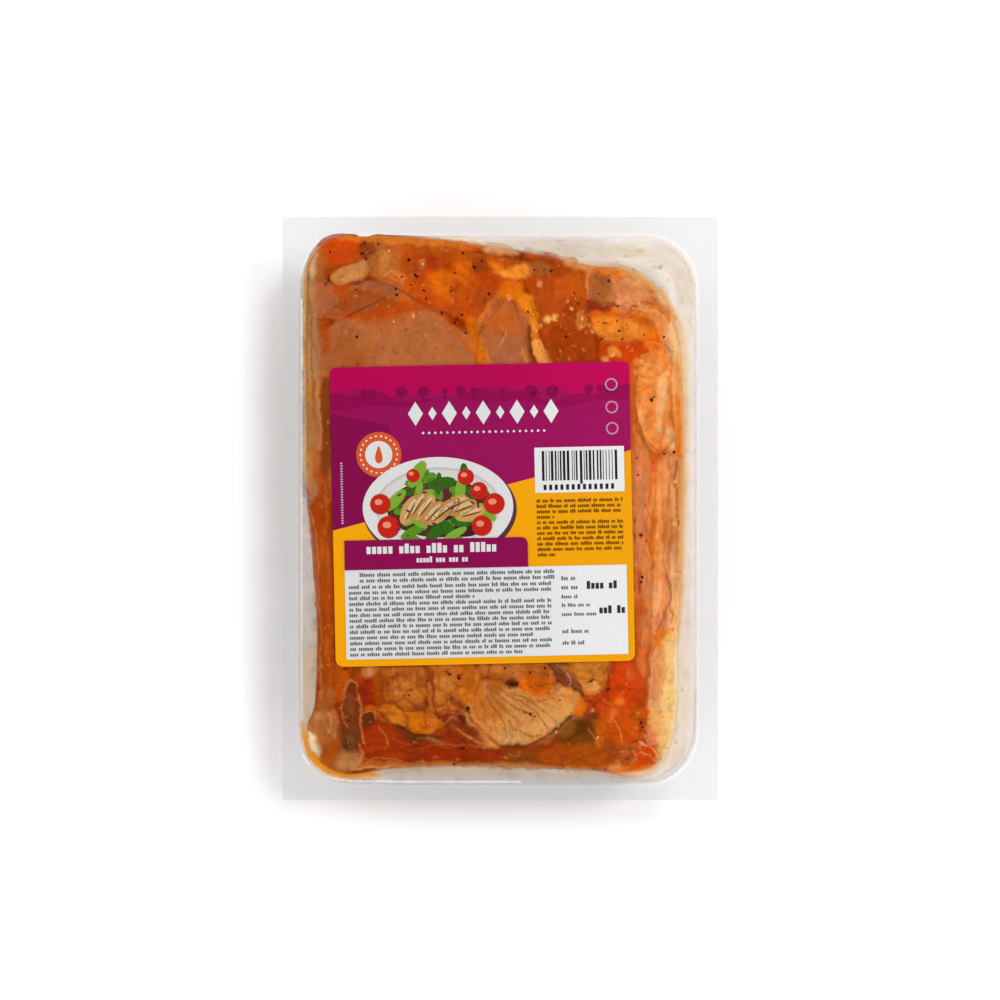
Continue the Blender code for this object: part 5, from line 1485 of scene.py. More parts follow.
def build_bed():
    """The meat under the pieces that show: lumpy sides that show through the tray's wall."""
    rings = [closed_curve(bed_outline(z), BED_RING) for z in BED_LEVELS]
    low, high = BED_LEVELS[0], BED_LEVELS[-1]
    layers = [bed_side(ring, z) for ring, z in zip(rings, BED_LEVELS)]
    for share in BED_FLOOR_SHARES:
        x, y = (rings[0] * share).T
        layers.insert(0, (np.column_stack([x, y, np.full(len(x), low)]), bed_floor(x, y)))
    points = np.concatenate([points for points, _ in layers] + [[[0, 0, low]], [[0, 0, high]]])
    colours = np.concatenate([colour for _, colour in layers] + [BED_MEAT[None], SAUCE_DEEP[None]])
    faces = ring_faces(BED_RING, len(layers))
    faces += tip_faces(0, BED_RING, len(points) - 2, up=False)
    faces += tip_faces((len(layers) - 1) * BED_RING, BED_RING, len(points) - 1, up=True)
    bed = new_mesh("food_bed", points, faces, MEAT, colours)
    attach(bed, "root")
    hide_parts("meat_bed")


build_bed()


SAUCE_STEP = 0.5
SAUCE_UNDER_LABEL = 3.0


def flat_grid(xs, ys):
    """The places of a grid, row by row."""
    gx, gy = np.meshgrid(xs, ys)
    return gx.ravel(), gy.ravel()


def build_sauce():
    """The marinade between the pieces, a little under their tops."""
    xs = np.arange(-MOUTH_HALF[0], MOUTH_HALF[0], SAUCE_STEP)
    ys = np.arange(-MOUTH_HALF[1], MOUTH_HALF[1], SAUCE_STEP)
    x, y = flat_grid(xs, ys)
    inside = depth_inside(x, y)
    fall = np.clip((0.5 - inside) / 1.4, 0, 1)
    places = np.column_stack([x, y, top_height(x, y) - SAUCE_UNDER_FOOD - 3.0 * fall**2])
    keep = (inside > -0.9) & (under_label(x, y) < SAUCE_UNDER_LABEL)
    faces = grid_faces(len(xs), len(ys), keep)
    sauce = new_mesh("marinade_between", places, faces, SAUCE, canvas.sample(canvas.colour, x, y))
    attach(sauce, "root")


build_sauce()

# Pepper, herbs and bits

# Flakes: place and size in the photograph's pixels
FLAKES = (
    (409, 260, 2.2), (416, 276, 2.4), (411, 285, 1.7), (424, 291, 2.2), (426, 299, 1.9), (330, 252, 1.8),
    (365, 243, 2.0), (361, 246, 1.5), (368, 249, 1.6), (362, 254, 2.0), (366, 259, 1.7), (370, 253, 1.4),
    (378, 244, 1.6), (396, 289, 1.6), (397, 295, 1.8), (402, 277, 1.2), (457, 319, 2.0), (455, 323, 1.7),
    (462, 315, 1.6), (466, 333, 2.0), (442, 313, 1.9), (451, 291, 1.8), (467, 299, 1.0), (446, 284, 1.2),
    (455, 273, 1.3), (463, 253, 1.6), (482, 261, 2.0), (474, 267, 1.6), (489, 294, 1.8), (484, 299, 1.3),
    (357, 337, 1.9), (326, 284, 1.4), (329, 280, 1.2), (356, 290, 1.4), (520, 264, 1.6), (534, 270, 1.6),
    (544, 270, 1.2), (551, 271, 2.3), (552, 290, 1.0), (574, 293, 1.4), (578, 304, 1.8), (528, 312, 1.5),
    (566, 337, 2.0), (604, 323, 1.3), (617, 321, 1.4), (619, 331, 1.8), (602, 339, 1.5), (622, 339, 1.7),
    (644, 335, 1.7), (664, 337, 1.5), (628, 329, 1.0), (609, 281, 2.0), (599, 294, 1.2), (618, 306, 1.2),
    (634, 270, 1.6), (660, 268, 1.5), (652, 400, 1.8), (654, 397, 1.4), (664, 454, 1.4), (674, 452, 1.8),
    (637, 458, 1.2), (638, 475, 1.6), (645, 506, 1.4), (641, 535, 1.9), (646, 541, 1.2), (642, 577, 1.8),
    (641, 582, 1.6), (530, 672, 1.9), (545, 668, 1.5), (548, 675, 1.3), (513, 685, 2.0), (517, 684, 1.6),
    (511, 684, 1.6), (530, 714, 1.6), (535, 716, 1.1), (591, 681, 1.3), (608, 689, 1.8), (459, 678, 1.9),
    (450, 674, 1.6), (446, 671, 1.3), (409, 695, 1.6), (411, 690, 1.1), (388, 684, 1.3), (380, 690, 1.6),
    (428, 681, 1.2), (468, 708, 2.0), (464, 717, 2.2), (460, 716, 1.7), (438, 718, 1.3), (463, 749, 1.8),
    (480, 748, 1.2), (345, 669, 1.3), (641, 723, 1.8), (643, 727, 1.5), (630, 689, 1.1), (571, 712, 1.2),
    (454, 764, 1.5), (346, 740, 1.6), (350, 744, 1.5), (349, 720, 1.4), (560, 700, 1.0), (505, 668, 1.2),
)

# Zones of fine stray flakes: middle and half sizes in photograph pixels, and how many
FLAKE_ZONES = (
    ((430, 272), (60, 26), 18), ((590, 290), (80, 30), 8), ((500, 700), (110, 30), 12),
    ((470, 752), (110, 10), 8), ((350, 720), (30, 40), 6), ((628, 325), (34, 12), 10),
)

# A flake's radius in millimetres for each pixel of its size, and a stray flake's radius
FLAKE_SCALE = (0.20, 0.36)
STRAY_RADIUS = (0.10, 0.24)
BIT_SCALE = 0.28
BITS_UNDER_FILM = 0.03


def scatter(name, spots, material, colour_of, flatness, sink):
    """Small irregular bits under the film as one mesh. Each spot is x, y and radius in millimetres."""
    rng = np.random.default_rng(11)
    shape = bmesh.new()
    bmesh.ops.create_icosphere(shape, subdivisions=1, radius=1.0)
    unit = np.array([v.co for v in shape.verts])
    faces = [[v.index for v in f.verts] for f in shape.faces]
    shape.free()
    points, all_faces, colours = [], [], []
    for k, (x, y, radius) in enumerate(spots):
        lump = unit * (1 + 0.35 * (rng.random((len(unit), 1)) - 0.5))
        turn = rng.random() * math.pi
        a, b = math.cos(turn), math.sin(turn)
        stretch = 0.75 + 0.7 * rng.random()
        flat = lump[:, :2] * [radius * stretch, radius / stretch]
        place = np.column_stack([a * flat[:, 0] - b * flat[:, 1] + x, b * flat[:, 0] + a * flat[:, 1] + y])
        half_height = radius * flatness
        z = film_under(x, y) - BITS_UNDER_FILM - half_height + lump[:, 2] * half_height - sink
        points.append(np.column_stack([place, z]))
        all_faces += [[i + k * len(unit) for i in f] for f in faces]
        colours.append(np.repeat(colour_of(rng)[None], len(unit), axis=0))
    made = new_mesh(name, np.concatenate(points), all_faces, material, np.concatenate(colours))
    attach(made, "root")


def build_flakes():
    """The listed flakes, and stray ones round them, but none on the label."""
    rng = np.random.default_rng(5)
    spots = [(*at(px, py), size * rng.uniform(*FLAKE_SCALE)) for px, py, size in FLAKES]
    for middle, half, number in FLAKE_ZONES:
        for _ in range(number):
            px = middle[0] + half[0] * rng.uniform(-1, 1)
            py = middle[1] + half[1] * rng.uniform(-1, 1)
            spots.append((*at(px, py), rng.uniform(*STRAY_RADIUS)))
    spots = [s for s in spots if under_label(s[0], s[1]) < -0.3]

    def colour(random):
        return mix(tone(38, 18, 11), tone(132, 56, 22), random.random() ** 1.5)

    scatter("pepper_flakes", spots, FLAKE, colour, 0.35, 0.0)


build_flakes()

# Bits of garlic and fat: place and size in the photograph's pixels
BITS = (
    (547, 320, 3.0), (555, 320, 3.2), (539, 284, 2.4), (572, 310, 1.6), (568, 301, 1.4), (582, 319, 3.6),
    (581, 327, 3.6), (592, 332, 1.4), (603, 363, 2.6), (612, 356, 4.0), (536, 331, 3.4), (541, 326, 2.4),
    (640, 372, 3.0), (673, 512, 2.6), (413, 317, 1.6), (394, 322, 1.4), (633, 308, 2.2), (639, 304, 2.8),
    (423, 264, 2.0), (389, 251, 2.2), (556, 732, 1.6), (598, 737, 1.6), (650, 306, 2.4), (560, 351, 1.4),
)


def build_bits():
    """The light bits that lie in the sauce."""
    spots = [(*at(px, py), size * BIT_SCALE) for px, py, size in BITS]

    def colour(random):
        return mix(tone(246, 176, 96), tone(232, 138, 48), random.random())

    scatter("garlic_and_fat_bits", spots, MEAT, colour, 0.3, 0.04)


build_bits()

# Tray, film and smears


def round_ring(half_x, half_y, radius, per_corner=20):
    """Points round a rectangle with round corners, anticlockwise."""
    points = []
    for quarter, (sx, sy) in enumerate(((1, 1), (-1, 1), (-1, -1), (1, -1))):
        for step in range(per_corner):
            angle = math.pi / 2 * (quarter + step / (per_corner - 1))
            points.append((sx * (half_x - radius) + radius * math.cos(angle),
                           sy * (half_y - radius) + radius * math.sin(angle)))
    return np.array(points)


# Rings of the tray's floor edge, wall and lip
FLOOR_STEPS, WALL_STEPS, LIP_STEPS = 10, 6, 8


def tray_profile(out_by):
    """Rings of the tray's inner face, moved outward, each with its height."""
    rings = []
    floor_x, floor_y = MOUTH_HALF[0] - DRAFT, MOUTH_HALF[1] - DRAFT
    floor_r = MOUTH_CORNER - 0.6 * DRAFT
    for step in range(FLOOR_STEPS):
        angle = math.pi / 2 * step / (FLOOR_STEPS - 1)
        out = (FLOOR_RADIUS + out_by) * math.sin(angle) - FLOOR_RADIUS
        z = WALL + FLOOR_RADIUS - (FLOOR_RADIUS + out_by) * math.cos(angle)
        rings.append((round_ring(floor_x + out, floor_y + out, floor_r + out), z))
    for step in range(1, WALL_STEPS):
        share = step / WALL_STEPS
        out = DRAFT * share + out_by
        z = WALL + FLOOR_RADIUS + (FLANGE_TOP - LIP_RADIUS - WALL - FLOOR_RADIUS) * share
        rings.append((round_ring(floor_x + out, floor_y + out, floor_r + 0.6 * DRAFT * share + out_by), z))
    lip = LIP_RADIUS - out_by
    for step in range(LIP_STEPS):
        angle = math.pi / 2 * step / (LIP_STEPS - 1)
        out = LIP_RADIUS - lip * math.cos(angle)
        z = FLANGE_TOP - LIP_RADIUS + lip * math.sin(angle)
        rings.append((round_ring(MOUTH_HALF[0] + out, MOUTH_HALF[1] + out, MOUTH_CORNER + out), z))
    return rings


for node_name, plastic in (("tray", TRAY_CLEAR), ("top_film", FILM_CLEAR)):
    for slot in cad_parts[node_name].material_slots:
        slot.material = plastic

# Where oil and thin sauce lie on the pocket's wall: place, half sizes, colour and cover
SMEARS = (
    ((690, 270), (50, 46), (238, 206, 140), 0.55),
    ((640, 262), (60, 20), (236, 204, 142), 0.55),
    ((560, 246), (60, 12), (226, 196, 150), 0.4),
    ((690, 420), (9, 150), (242, 218, 186), 0.45),
    ((690, 600), (9, 130), (236, 206, 182), 0.45),
    ((680, 690), (14, 60), (240, 200, 140), 0.6),
    ((670, 755), (30, 24), (236, 196, 140), 0.5),
    ((500, 776), (140, 9), (176, 146, 120), 0.55),
    ((600, 776), (60, 10), (190, 150, 118), 0.5),
    ((312, 640), (10, 70), (190, 166, 140), 0.6),
    ((306, 330), (9, 90), (176, 116, 62), 0.8),
    ((312, 262), (18, 30), (186, 110, 46), 0.85),
    ((306, 450), (8, 90), (166, 102, 54), 0.75),
    ((318, 768), (36, 20), (222, 132, 30), 0.9),
    ((306, 745), (12, 30), (226, 150, 60), 0.75),
    ((345, 778), (30, 8), (214, 124, 30), 0.85),
)


# The smears lie a little inside the wall, from the floor's edge to below the lip
SMEAR_INWARD = 0.12
SMEAR_RINGS = slice(6, -4)
SMEAR_RING = 700
SMEAR_LIGHT = 0.85
SMEAR_THIN = 0.05
SMEAR_THIN_COLOUR = (236, 222, 204)


def build_smear():
    """A skin of oil and thin sauce just inside the pocket's wall."""
    rings = tray_profile(-SMEAR_INWARD)[SMEAR_RINGS]
    levels = []
    for ring, z in rings:
        even = closed_line(ring + POCKET_AT, SMEAR_RING)
        levels.append(np.column_stack([even, np.full(SMEAR_RING, z)]))
    points = np.concatenate(levels)
    x, y, z = points.T
    cover = np.full(len(x), SMEAR_THIN)
    colour = np.repeat(linear(*SMEAR_THIN_COLOUR)[None], len(x), axis=0)
    for place, half, tint, strength in SMEARS:
        share = strength * spot_share(x, y, place, half)
        colour = mix(colour, linear(*tint) * SMEAR_LIGHT, share / np.maximum(cover + share, 1e-6))
        cover = np.maximum(cover, share)
    cover = cover * (0.55 + 0.9 * fbm(x, y + z, 7, 95, 4))
    cover = np.clip(cover * smooth(FLANGE_TOP - z, 0.6, 2.5), 0, 0.95)
    faces = ring_faces(SMEAR_RING, len(rings))
    smear = new_mesh("oil_on_wall", points, faces, SMEAR_AND_HIGHLIGHTS, colour, {"cover": cover})
    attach(smear, "root")


build_smear()

# Oil and thin sauce under the film, round the food, grey patches at the bottom and on the left, and a
# painted highlight in the lower left corner: outline, colour, cover and edge softness
UNDER_FILM_WASHES = {
    "yellow corner": (((586, 250), (640, 246), (678, 258), (694, 290), (694, 350), (684, 350), (674, 308),
        (652, 280), (612, 264)), (246, 236, 218), 0.5, 12),
    "top cream": (((470, 241), (560, 243), (640, 246), (640, 257), (560, 255), (480, 248)), (229, 214, 190),
        0.6, 5),
    "clear patch": (((588, 256), (616, 257), (614, 266), (590, 266)), (230, 214, 206), 0.65, 3),
    "ochre over rim": (((560, 256), (590, 262), (630, 268), (650, 282), (670, 306), (664, 306), (640, 282),
        (600, 268), (566, 262)), (232, 200, 146), 0.5, 5),
    "right top cream": (((676, 320), (686, 320), (692, 360), (690, 410), (682, 400), (678, 360)),
        (242, 228, 196), 0.6, 4),
    "right peach": (((682, 400), (691, 400), (693, 500), (692, 650), (683, 660), (680, 560), (682, 480)),
        (238, 223, 206), 0.8, 4),
    "right pale": (((691, 330), (697, 360), (697, 720), (692, 720)), (238, 234, 230), 0.6, 3),
    "low right cream": (((677, 640), (690, 650), (692, 716), (682, 756), (656, 776), (640, 776), (662, 756),
        (674, 716)), (240, 224, 206), 0.6, 6),
    "bottom tan": (((378, 768), (440, 766), (520, 769), (600, 771), (640, 777), (640, 780), (500, 780),
        (384, 779)), (206, 184, 160), 0.9, 3.5),
    "bottom grey": (((390, 775), (500, 776), (620, 778), (620, 783), (500, 783), (390, 782)),
        (196, 192, 188), 0.7, 2.5),
    "corner orange": (((301, 722), (301, 742), (309, 760), (326, 774), (350, 779), (382, 774), (356, 768),
        (334, 766), (318, 754), (308, 738), (307, 722)), (232, 150, 38), 0.97, 2.5),
    # A painted highlight in the corner
    "corner glint": (((307, 731), (312, 733), (318, 750), (313, 750)), (244, 238, 230), 0.97, 1.6),
    "left tan low": (((302, 600), (313, 580), (318, 640), (323, 700), (318, 726), (303, 724)),
        (204, 182, 158), 0.9, 4),
    "left pale": (((301, 500), (308, 520), (312, 580), (312, 640), (302, 640)), (206, 196, 186), 0.78, 3),
    "left ochre": (((303, 300), (306, 264), (318, 246), (338, 235), (342, 240), (328, 252), (316, 270),
        (312, 290), (310, 380), (309, 470), (305, 480), (304, 380)), (200, 140, 62), 0.97, 2.2),
    "cream over edge": (((322, 238), (350, 233), (420, 235), (480, 239), (480, 243), (420, 240), (350, 238),
        (328, 243)), (242, 222, 184), 0.78, 2),
}

# Thin lines on the plastic: points, half width, colour and cover. The pale ones along the rim are
# painted highlights on the pocket's lip, and the last is a thin grey line along the wall's edge
LIP_HIGHLIGHTS_AND_GREY_LINE = (
    (((301, 300), (300.5, 400), (300.5, 560), (300, 720)), 1.4, (250, 248, 246), 0.9),
    (((304, 262), (314, 246), (332, 236)), 1.2, (250, 232, 196), 0.8),
    (((301, 740), (308, 760), (326, 776), (350, 781)), 1.2, (250, 232, 190), 0.8),
    (((350, 781), (420, 782), (520, 782)), 1.0, (244, 240, 236), 0.7),
    (((695, 690), (694, 730), (687, 756), (670, 775), (644, 782)), 0.7, (168, 160, 154), 0.6),
)

# Light lines along the food's right edge: points and colour
OIL_EDGES = (
    (((667, 299), (679, 320), (684, 350), (686, 400), (686, 470), (684, 540), (682, 600)), (242, 204, 158)),
    (((682, 600), (680, 660), (678, 716), (669, 754), (654, 774)), (238, 220, 196)),
)

# Specks in the oil: place and half sizes
OIL_SPECKS = (
    (618, 262, 3, 1), (634, 269, 1.6, 2), (655, 267, 5, 2), (661, 266, 2, 1.8), (548, 253, 4, 1.2),
    (558, 249, 2, 1), (572, 258, 2, 1), (640, 251, 4, 1), (668, 280, 1.4, 2), (676, 318, 1.4, 3),
    (650, 262, 3, 1), (626, 256, 3, 1), (682, 300, 1.2, 4), (682, 690, 1.4, 2), (676, 742, 1.4, 2),
    (612, 777, 3, 1.2), (454, 766, 2.6, 1.4), (314, 686, 1.4, 1.4), (498, 764, 4, 1), (690, 268, 1.4, 2),
)
OIL_UNDER_FILM = 0.05
OIL_LIGHT = 0.87
OIL_STEP = 0.4

# Where the oil is thin: its colour and cover. The specks' colour, and the lines' colours, widths and covers
OIL_THIN_COLOUR = (236, 228, 216)
OIL_THIN = 0.10
OIL_SPECK_COLOUR = (196, 156, 74)
RIM_LINE_COLOUR = (186, 184, 182)
RIM_LINE_WIDTH, RIM_LINE_COVER = 0.9, 0.25
OIL_EDGE_WIDTH, OIL_EDGE_STRENGTH, OIL_EDGE_COVER = 2.6, 0.9, 0.75

# The sheet runs a little past the pocket's rim and some way over the food
OIL_PAST_RIM = 0.6
OIL_OVER_FOOD = 3.2


def paint_oil_and_highlights():
    """The oil's colours and cover, with painted highlights on the pocket's lip. The thin lines and specks
    keep sharp edges.
    """
    oil = Canvas()
    oil.colour[:] = linear(*OIL_THIN_COLOUR) * OIL_LIGHT
    oil.lift[:] = OIL_THIN
    for outline, tint, cover, soft in UNDER_FILM_WASHES.values():
        oil.wash(outline, linear(*tint) * OIL_LIGHT, 1.0, soft, cover)
    oil.lift = np.clip(oil.lift, 0, 1) * (0.75 + 0.5 * fbm(*oil.mm, 5, 231, 4))
    oil.bent_x, oil.bent_y = oil.x, oil.y
    # The pale lines are painted highlights on the pocket's lip
    for points, width, tint, cover in LIP_HIGHLIGHTS_AND_GREY_LINE:
        oil.stroke(points, width, linear(*tint), 1.0, cover)
    # A thin grey line round the pocket's rim
    rim = round_ring(*MOUTH_HALF, MOUTH_CORNER, 12) + POCKET_AT
    rim = np.column_stack([rim[:, 0], -rim[:, 1]]) / PHOTO_SCALE + PHOTO_MIDDLE
    oil.stroke(np.vstack([rim, rim[:1]]), RIM_LINE_WIDTH, linear(*RIM_LINE_COLOUR), 1.0, RIM_LINE_COVER)
    for points, tint in OIL_EDGES:
        oil.stroke(points, OIL_EDGE_WIDTH, linear(*tint) * OIL_LIGHT, OIL_EDGE_STRENGTH, OIL_EDGE_COVER)
    for px, py, wide, high in OIL_SPECKS:
        oil.spot((px, py), (wide, high), 0, linear(*OIL_SPECK_COLOUR), 0.8)
    return oil


def build_oil_and_highlights():
    """A thin sheet of oil under the film, between the food and the pocket's rim, that also holds painted lip
    highlights.
    """
    oil = paint_oil_and_highlights()
    xs = np.arange(-MOUTH_HALF[0], MOUTH_HALF[0] + OIL_STEP, OIL_STEP) + POCKET_AT[0]
    ys = np.arange(-MOUTH_HALF[1], MOUTH_HALF[1] + OIL_STEP, OIL_STEP) + POCKET_AT[1]
    x, y = flat_grid(xs, ys)
    corner_x = np.clip(np.abs(x - POCKET_AT[0]) - MOUTH_HALF[0] + MOUTH_CORNER, 0, None)
    corner_y = np.clip(np.abs(y - POCKET_AT[1]) - MOUTH_HALF[1] + MOUTH_CORNER, 0, None)
    room = MOUTH_CORNER - np.hypot(corner_x, corner_y)
    depth = depth_inside(x, y)
    keep = (room > -OIL_PAST_RIM) & (depth < OIL_OVER_FOOD)
    right = smooth(x, *FEATHER_FROM_X)
    cover = np.clip(oil.sample(oil.lift, x, y), 0, 1) * smooth(room, -OIL_PAST_RIM, 0.4)
    cover *= 1 - smooth(depth, -0.5, 0.7 + 0.5 * right)
    places = np.column_stack([x, y, film_under(x, y) - OIL_UNDER_FILM])
    colour = np.clip(oil.sample(oil.colour, x, y), 0, 1)
    faces = grid_faces(len(xs), len(ys), keep)
    sheet = new_mesh("oil_and_lip_highlights_under_film", places, faces, SMEAR_AND_HIGHLIGHTS, colour, {"cover": cover})
    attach(sheet, "root")


build_oil_and_highlights()

# The label

# Heights in millimetres: the label over the film, its sheet, and from one layer of print to the next
LABEL_UNDER = 0.34
LABEL_THICK = 0.1
LAYER = 0.016

# The print is cut into cells of this size, so that it bends with the label
BEND_CELL = 9.0
LABEL_RING = 240


def label_height(x, y):
    """Height of the label's sheet."""
    return film_under(x, y) + LABEL_UNDER + LABEL_THICK


def label_to_pack(u, v):
    """The label's own millimetres, right and up from its middle, on the pack."""
    a, b = math.cos(LABEL_TURN), math.sin(LABEL_TURN)
    return LABEL_AT[0] + a * u - b * v, LABEL_AT[1] + b * u + a * v


def label_outline():
    """The label's outline in its own millimetres."""
    return round_ring(LABEL_HALF, LABEL_HALF, LABEL_CORNER, 8)


class Print:
    """The label's print as flat patches that follow the label, gathered into one mesh."""

    def __init__(self):
        self.points, self.faces, self.colours = [], [], []

    def patch(self, outline, colour, layer):
        """A filled outline in the label's millimetres, cut into cells so that it bends, with painted shade on
        the left.
        """
        shape = bmesh.new()
        shape.faces.new([shape.verts.new((*p, 0.0)) for p in outline])
        lo, hi = np.min(outline, axis=0), np.max(outline, axis=0)
        for axis, normal in enumerate(((1.0, 0.0, 0.0), (0.0, 1.0, 0.0))):
            for cut in np.arange(math.ceil(lo[axis] / BEND_CELL) * BEND_CELL, hi[axis], BEND_CELL):
                where = [cut * share for share in normal]
                parts = shape.verts[:] + shape.edges[:] + shape.faces[:]
                bmesh.ops.bisect_plane(shape, geom=parts, plane_co=where, plane_no=normal)
        bmesh.ops.triangulate(shape, faces=shape.faces)
        shape.verts.index_update()
        flat = np.array([v.co[:2] for v in shape.verts])
        start = sum(len(p) for p in self.points)
        for face in shape.faces:
            corners = [v.index for v in face.verts]
            p, q, r = flat[corners]
            if (q[0] - p[0]) * (r[1] - p[1]) - (q[1] - p[1]) * (r[0] - p[0]) < 0:
                corners = corners[::-1]
            self.faces.append([i + start for i in corners])
        shape.free()
        x, y = label_to_pack(flat[:, 0], flat[:, 1])
        self.points.append(np.column_stack([x, y, label_height(x, y) + LAYER * layer]))
        # Painted shade: the print grows darker towards the label's left side, where the light is weaker
        shade = 0.88 + 0.14 * smooth(flat[:, 0], 0, 40)
        self.colours.append(np.asarray(colour) * shade[:, None])

    def box(self, left, top, right, bottom, colour, layer):
        """A rectangle by its sides."""
        self.patch([(left, bottom), (right, bottom), (right, top), (left, top)], colour, layer)

    def oval(self, middle, half, colour, layer, turn=0.0, count=28):
        """An oval by its middle and half sizes, turned by degrees."""
        t = np.linspace(0, 2 * math.pi, count, endpoint=False)
        a, b = math.cos(math.radians(turn)), math.sin(math.radians(turn))
        u, v = half[0] * np.cos(t), half[1] * np.sin(t)
        self.patch(np.column_stack([middle[0] + a * u - b * v, middle[1] + b * u + a * v]), colour, layer)

    def words(self, left, top, right, height, colour, layer, seed, mean=3.0, last=1.0):
        """A row of short bars in word-like groups, where small print would stand.

        mean is about how many bars a group has, and last the share of the row that is filled.
        """
        rng = np.random.default_rng(seed)
        u = left
        end = left + (right - left) * last
        stroke = height * 0.52
        while u < end - stroke:
            for _ in range(int(rng.integers(2, 2 * mean))):
                if u > end - stroke:
                    break
                tall = height * (1.0 if rng.random() < 0.2 else 0.74)
                self.box(u, top - height + tall, u + stroke * 0.82, top - height, colour, layer)
                u += stroke * 1.08
            u += stroke * 1.1

    def build(self, name):
        """All patches as one piece."""
        made = new_mesh(name, np.concatenate(self.points), self.faces, PRINT, np.concatenate(self.colours))
        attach(made, "root")


# The studio's light makes the print this much brighter than the photograph shows it
PRINT_LIGHT = 0.71


def ink(*srgb):
    """A print colour as the photograph shows it, in linear light."""
    return linear(*srgb) * PRINT_LIGHT


ORANGE = ink(246, 166, 6)
PURPLE_LEFT = ink(132, 6, 72)
PURPLE = ink(160, 16, 92)
CRIMSON = ink(192, 2, 86)
PLUM = ink(112, 8, 72)
WHITE = ink(236, 236, 237)
GREY = ink(114, 111, 116)
BROWN = ink(126, 78, 8)
BADGE = ink(226, 92, 44)
HILL = mix(PLUM, CRIMSON, 0.45)
BUSH = mix(PLUM, CRIMSON, 0.3)
LEFT_SHADE = mix(PURPLE, PURPLE_LEFT, 0.7)
BANNER = mix(PURPLE, PURPLE_LEFT, 0.5)
RULE = mix(PURPLE, WHITE, 0.55)
RING = mix(PURPLE, WHITE, 0.35)
RING_INSIDE = mix(PURPLE, CRIMSON, 0.3)
BAR = ink(34, 32, 34)
BAR_FOOT = ink(40, 38, 40)
BOLD = ink(50, 48, 52)

# The rings of the label's sheet, from the underside's middle to the top's: share of the way out, and height
# as a share of its thickness
LABEL_RINGS = (
    (0.25, 0.0), (0.6, 0.0), (1.0, 0.0), (1.0, 1.0), (0.8, 1.0), (0.6, 1.0), (0.4, 1.0), (0.2, 1.0),
)


def label_base():
    """The label's own sheet, in place of its CAD solid."""
    ring = closed_line(label_outline(), LABEL_RING)
    levels = []
    for share, thick in LABEL_RINGS:
        x, y = label_to_pack(ring[:, 0] * share, ring[:, 1] * share)
        z = label_height(x, y) - LABEL_THICK * (1 - thick)
        levels.append(np.column_stack([x, y, z]))
    z = label_height(*map(np.array, LABEL_AT))
    points = np.concatenate(levels + [[[*LABEL_AT, z - LABEL_THICK]], [[*LABEL_AT, z]]])
    faces = ring_faces(LABEL_RING, len(levels))
    faces += tip_faces(0, LABEL_RING, len(points) - 2, up=False)
    faces += tip_faces((len(levels) - 1) * LABEL_RING, LABEL_RING, len(points) - 1, up=True)
    sheet = new_mesh("label_sheet", points, faces, PRINT, np.repeat(ORANGE[None], len(points), axis=0))
    sheet.data.set_sharp_from_angle(angle=math.radians(50))
    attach(sheet, "root")
    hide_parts("label")


def wave_top(base, height, pitch, phase, steps=60):
    """A rolling skyline across the label."""
    u = np.linspace(-LABEL_HALF, LABEL_HALF, steps)
    rolling = height * (0.5 + 0.5 * np.sin(u / pitch + phase))
    v = base + rolling + 0.3 * height * np.sin(u / pitch * 2.7 + 2 * phase)
    return [tuple(place) for place in np.column_stack([u, v])]


# The purple field's lower edge, from the left side to the right one, and the shaded part on the left
FIELD_EDGE = ((LABEL_HALF, 20.2), (-LABEL_HALF, -4.4), (17.5, 11.8))
SHADED = ((-LABEL_HALF, -4.4), (-26.0, 1.3), (-30.0, 30.0), (-LABEL_HALF, 34.0))

# Hills: base, height, pitch, phase, colour and layer. They stand on a straight foot
HILLS = ((37.6, 3.4, 7.0, 1.0, HILL, 3), (35.6, 2.4, 11.0, 2.2, PURPLE, 4))
HILL_FOOT = 34.0
SKYLINE = (39.5, 2.2, 9.0, 0.4)

# Bushes: how many, how far out, their middles' level, and the trunk's half width, top and foot
BUSHES = 16
BUSH_OUT = 46
BUSH_LEVEL = 40.6
TRUNK_HALF, TRUNK_TOP, TRUNK_FOOT = 0.18, 40.4, 37.8


def upper_field(prints):
    """The purple field with rolling hills and round bushes along its top."""
    outline = [tuple(place) for place in label_outline()]
    right_end, left_end, bend = FIELD_EDGE
    prints.patch([right_end] + [place for place in outline if place[1] > 20] + [left_end, bend], PURPLE, 1)
    prints.patch(SHADED, LEFT_SHADE, 2)
    prints.patch([place for place in outline if place[1] > 44] + wave_top(*SKYLINE), CRIMSON, 2)
    for base, height, pitch, phase, colour, layer in HILLS:
        line = wave_top(base, height, pitch, phase)
        prints.patch([(-LABEL_HALF, HILL_FOOT), (LABEL_HALF, HILL_FOOT)] + line[::-1], colour, layer)
    rng = np.random.default_rng(3)
    for _ in range(BUSHES):
        u = rng.uniform(-BUSH_OUT, BUSH_OUT)
        size = rng.uniform(0.9, 2.2)
        prints.oval((u, BUSH_LEVEL + rng.uniform(-0.6, 0.8)), (size, size * 0.9), BUSH, 5, count=14)
        prints.box(u - TRUNK_HALF, TRUNK_TOP, u + TRUNK_HALF, TRUNK_FOOT, BUSH, 5)


# Where a name would stand: lozenges, large and small in turn, by their pitch and half sizes
LOZENGE_AT = (1.0, 33.6)
LOZENGE_PITCH = 5.6
LARGE_LOZENGE = (2.5, 4.0)
SMALL_LOZENGE = (1.4, 2.2)

# A row of dots below them, rings on the right, and dashes down the left side
DOTS_LEVEL, DOTS_PITCH, DOT_HALF = 27.2, 2.0, 0.42
RINGS_U = 43.5
RING_LEVELS = (42.0, 34.5, 27.5)
RING_HALF, RING_HOLE = 2.1, 1.6
DASHES, DASH_PITCH = 24, 0.86
FIRST_DASH = (-46.6, 18.0, -45.9, 17.5)


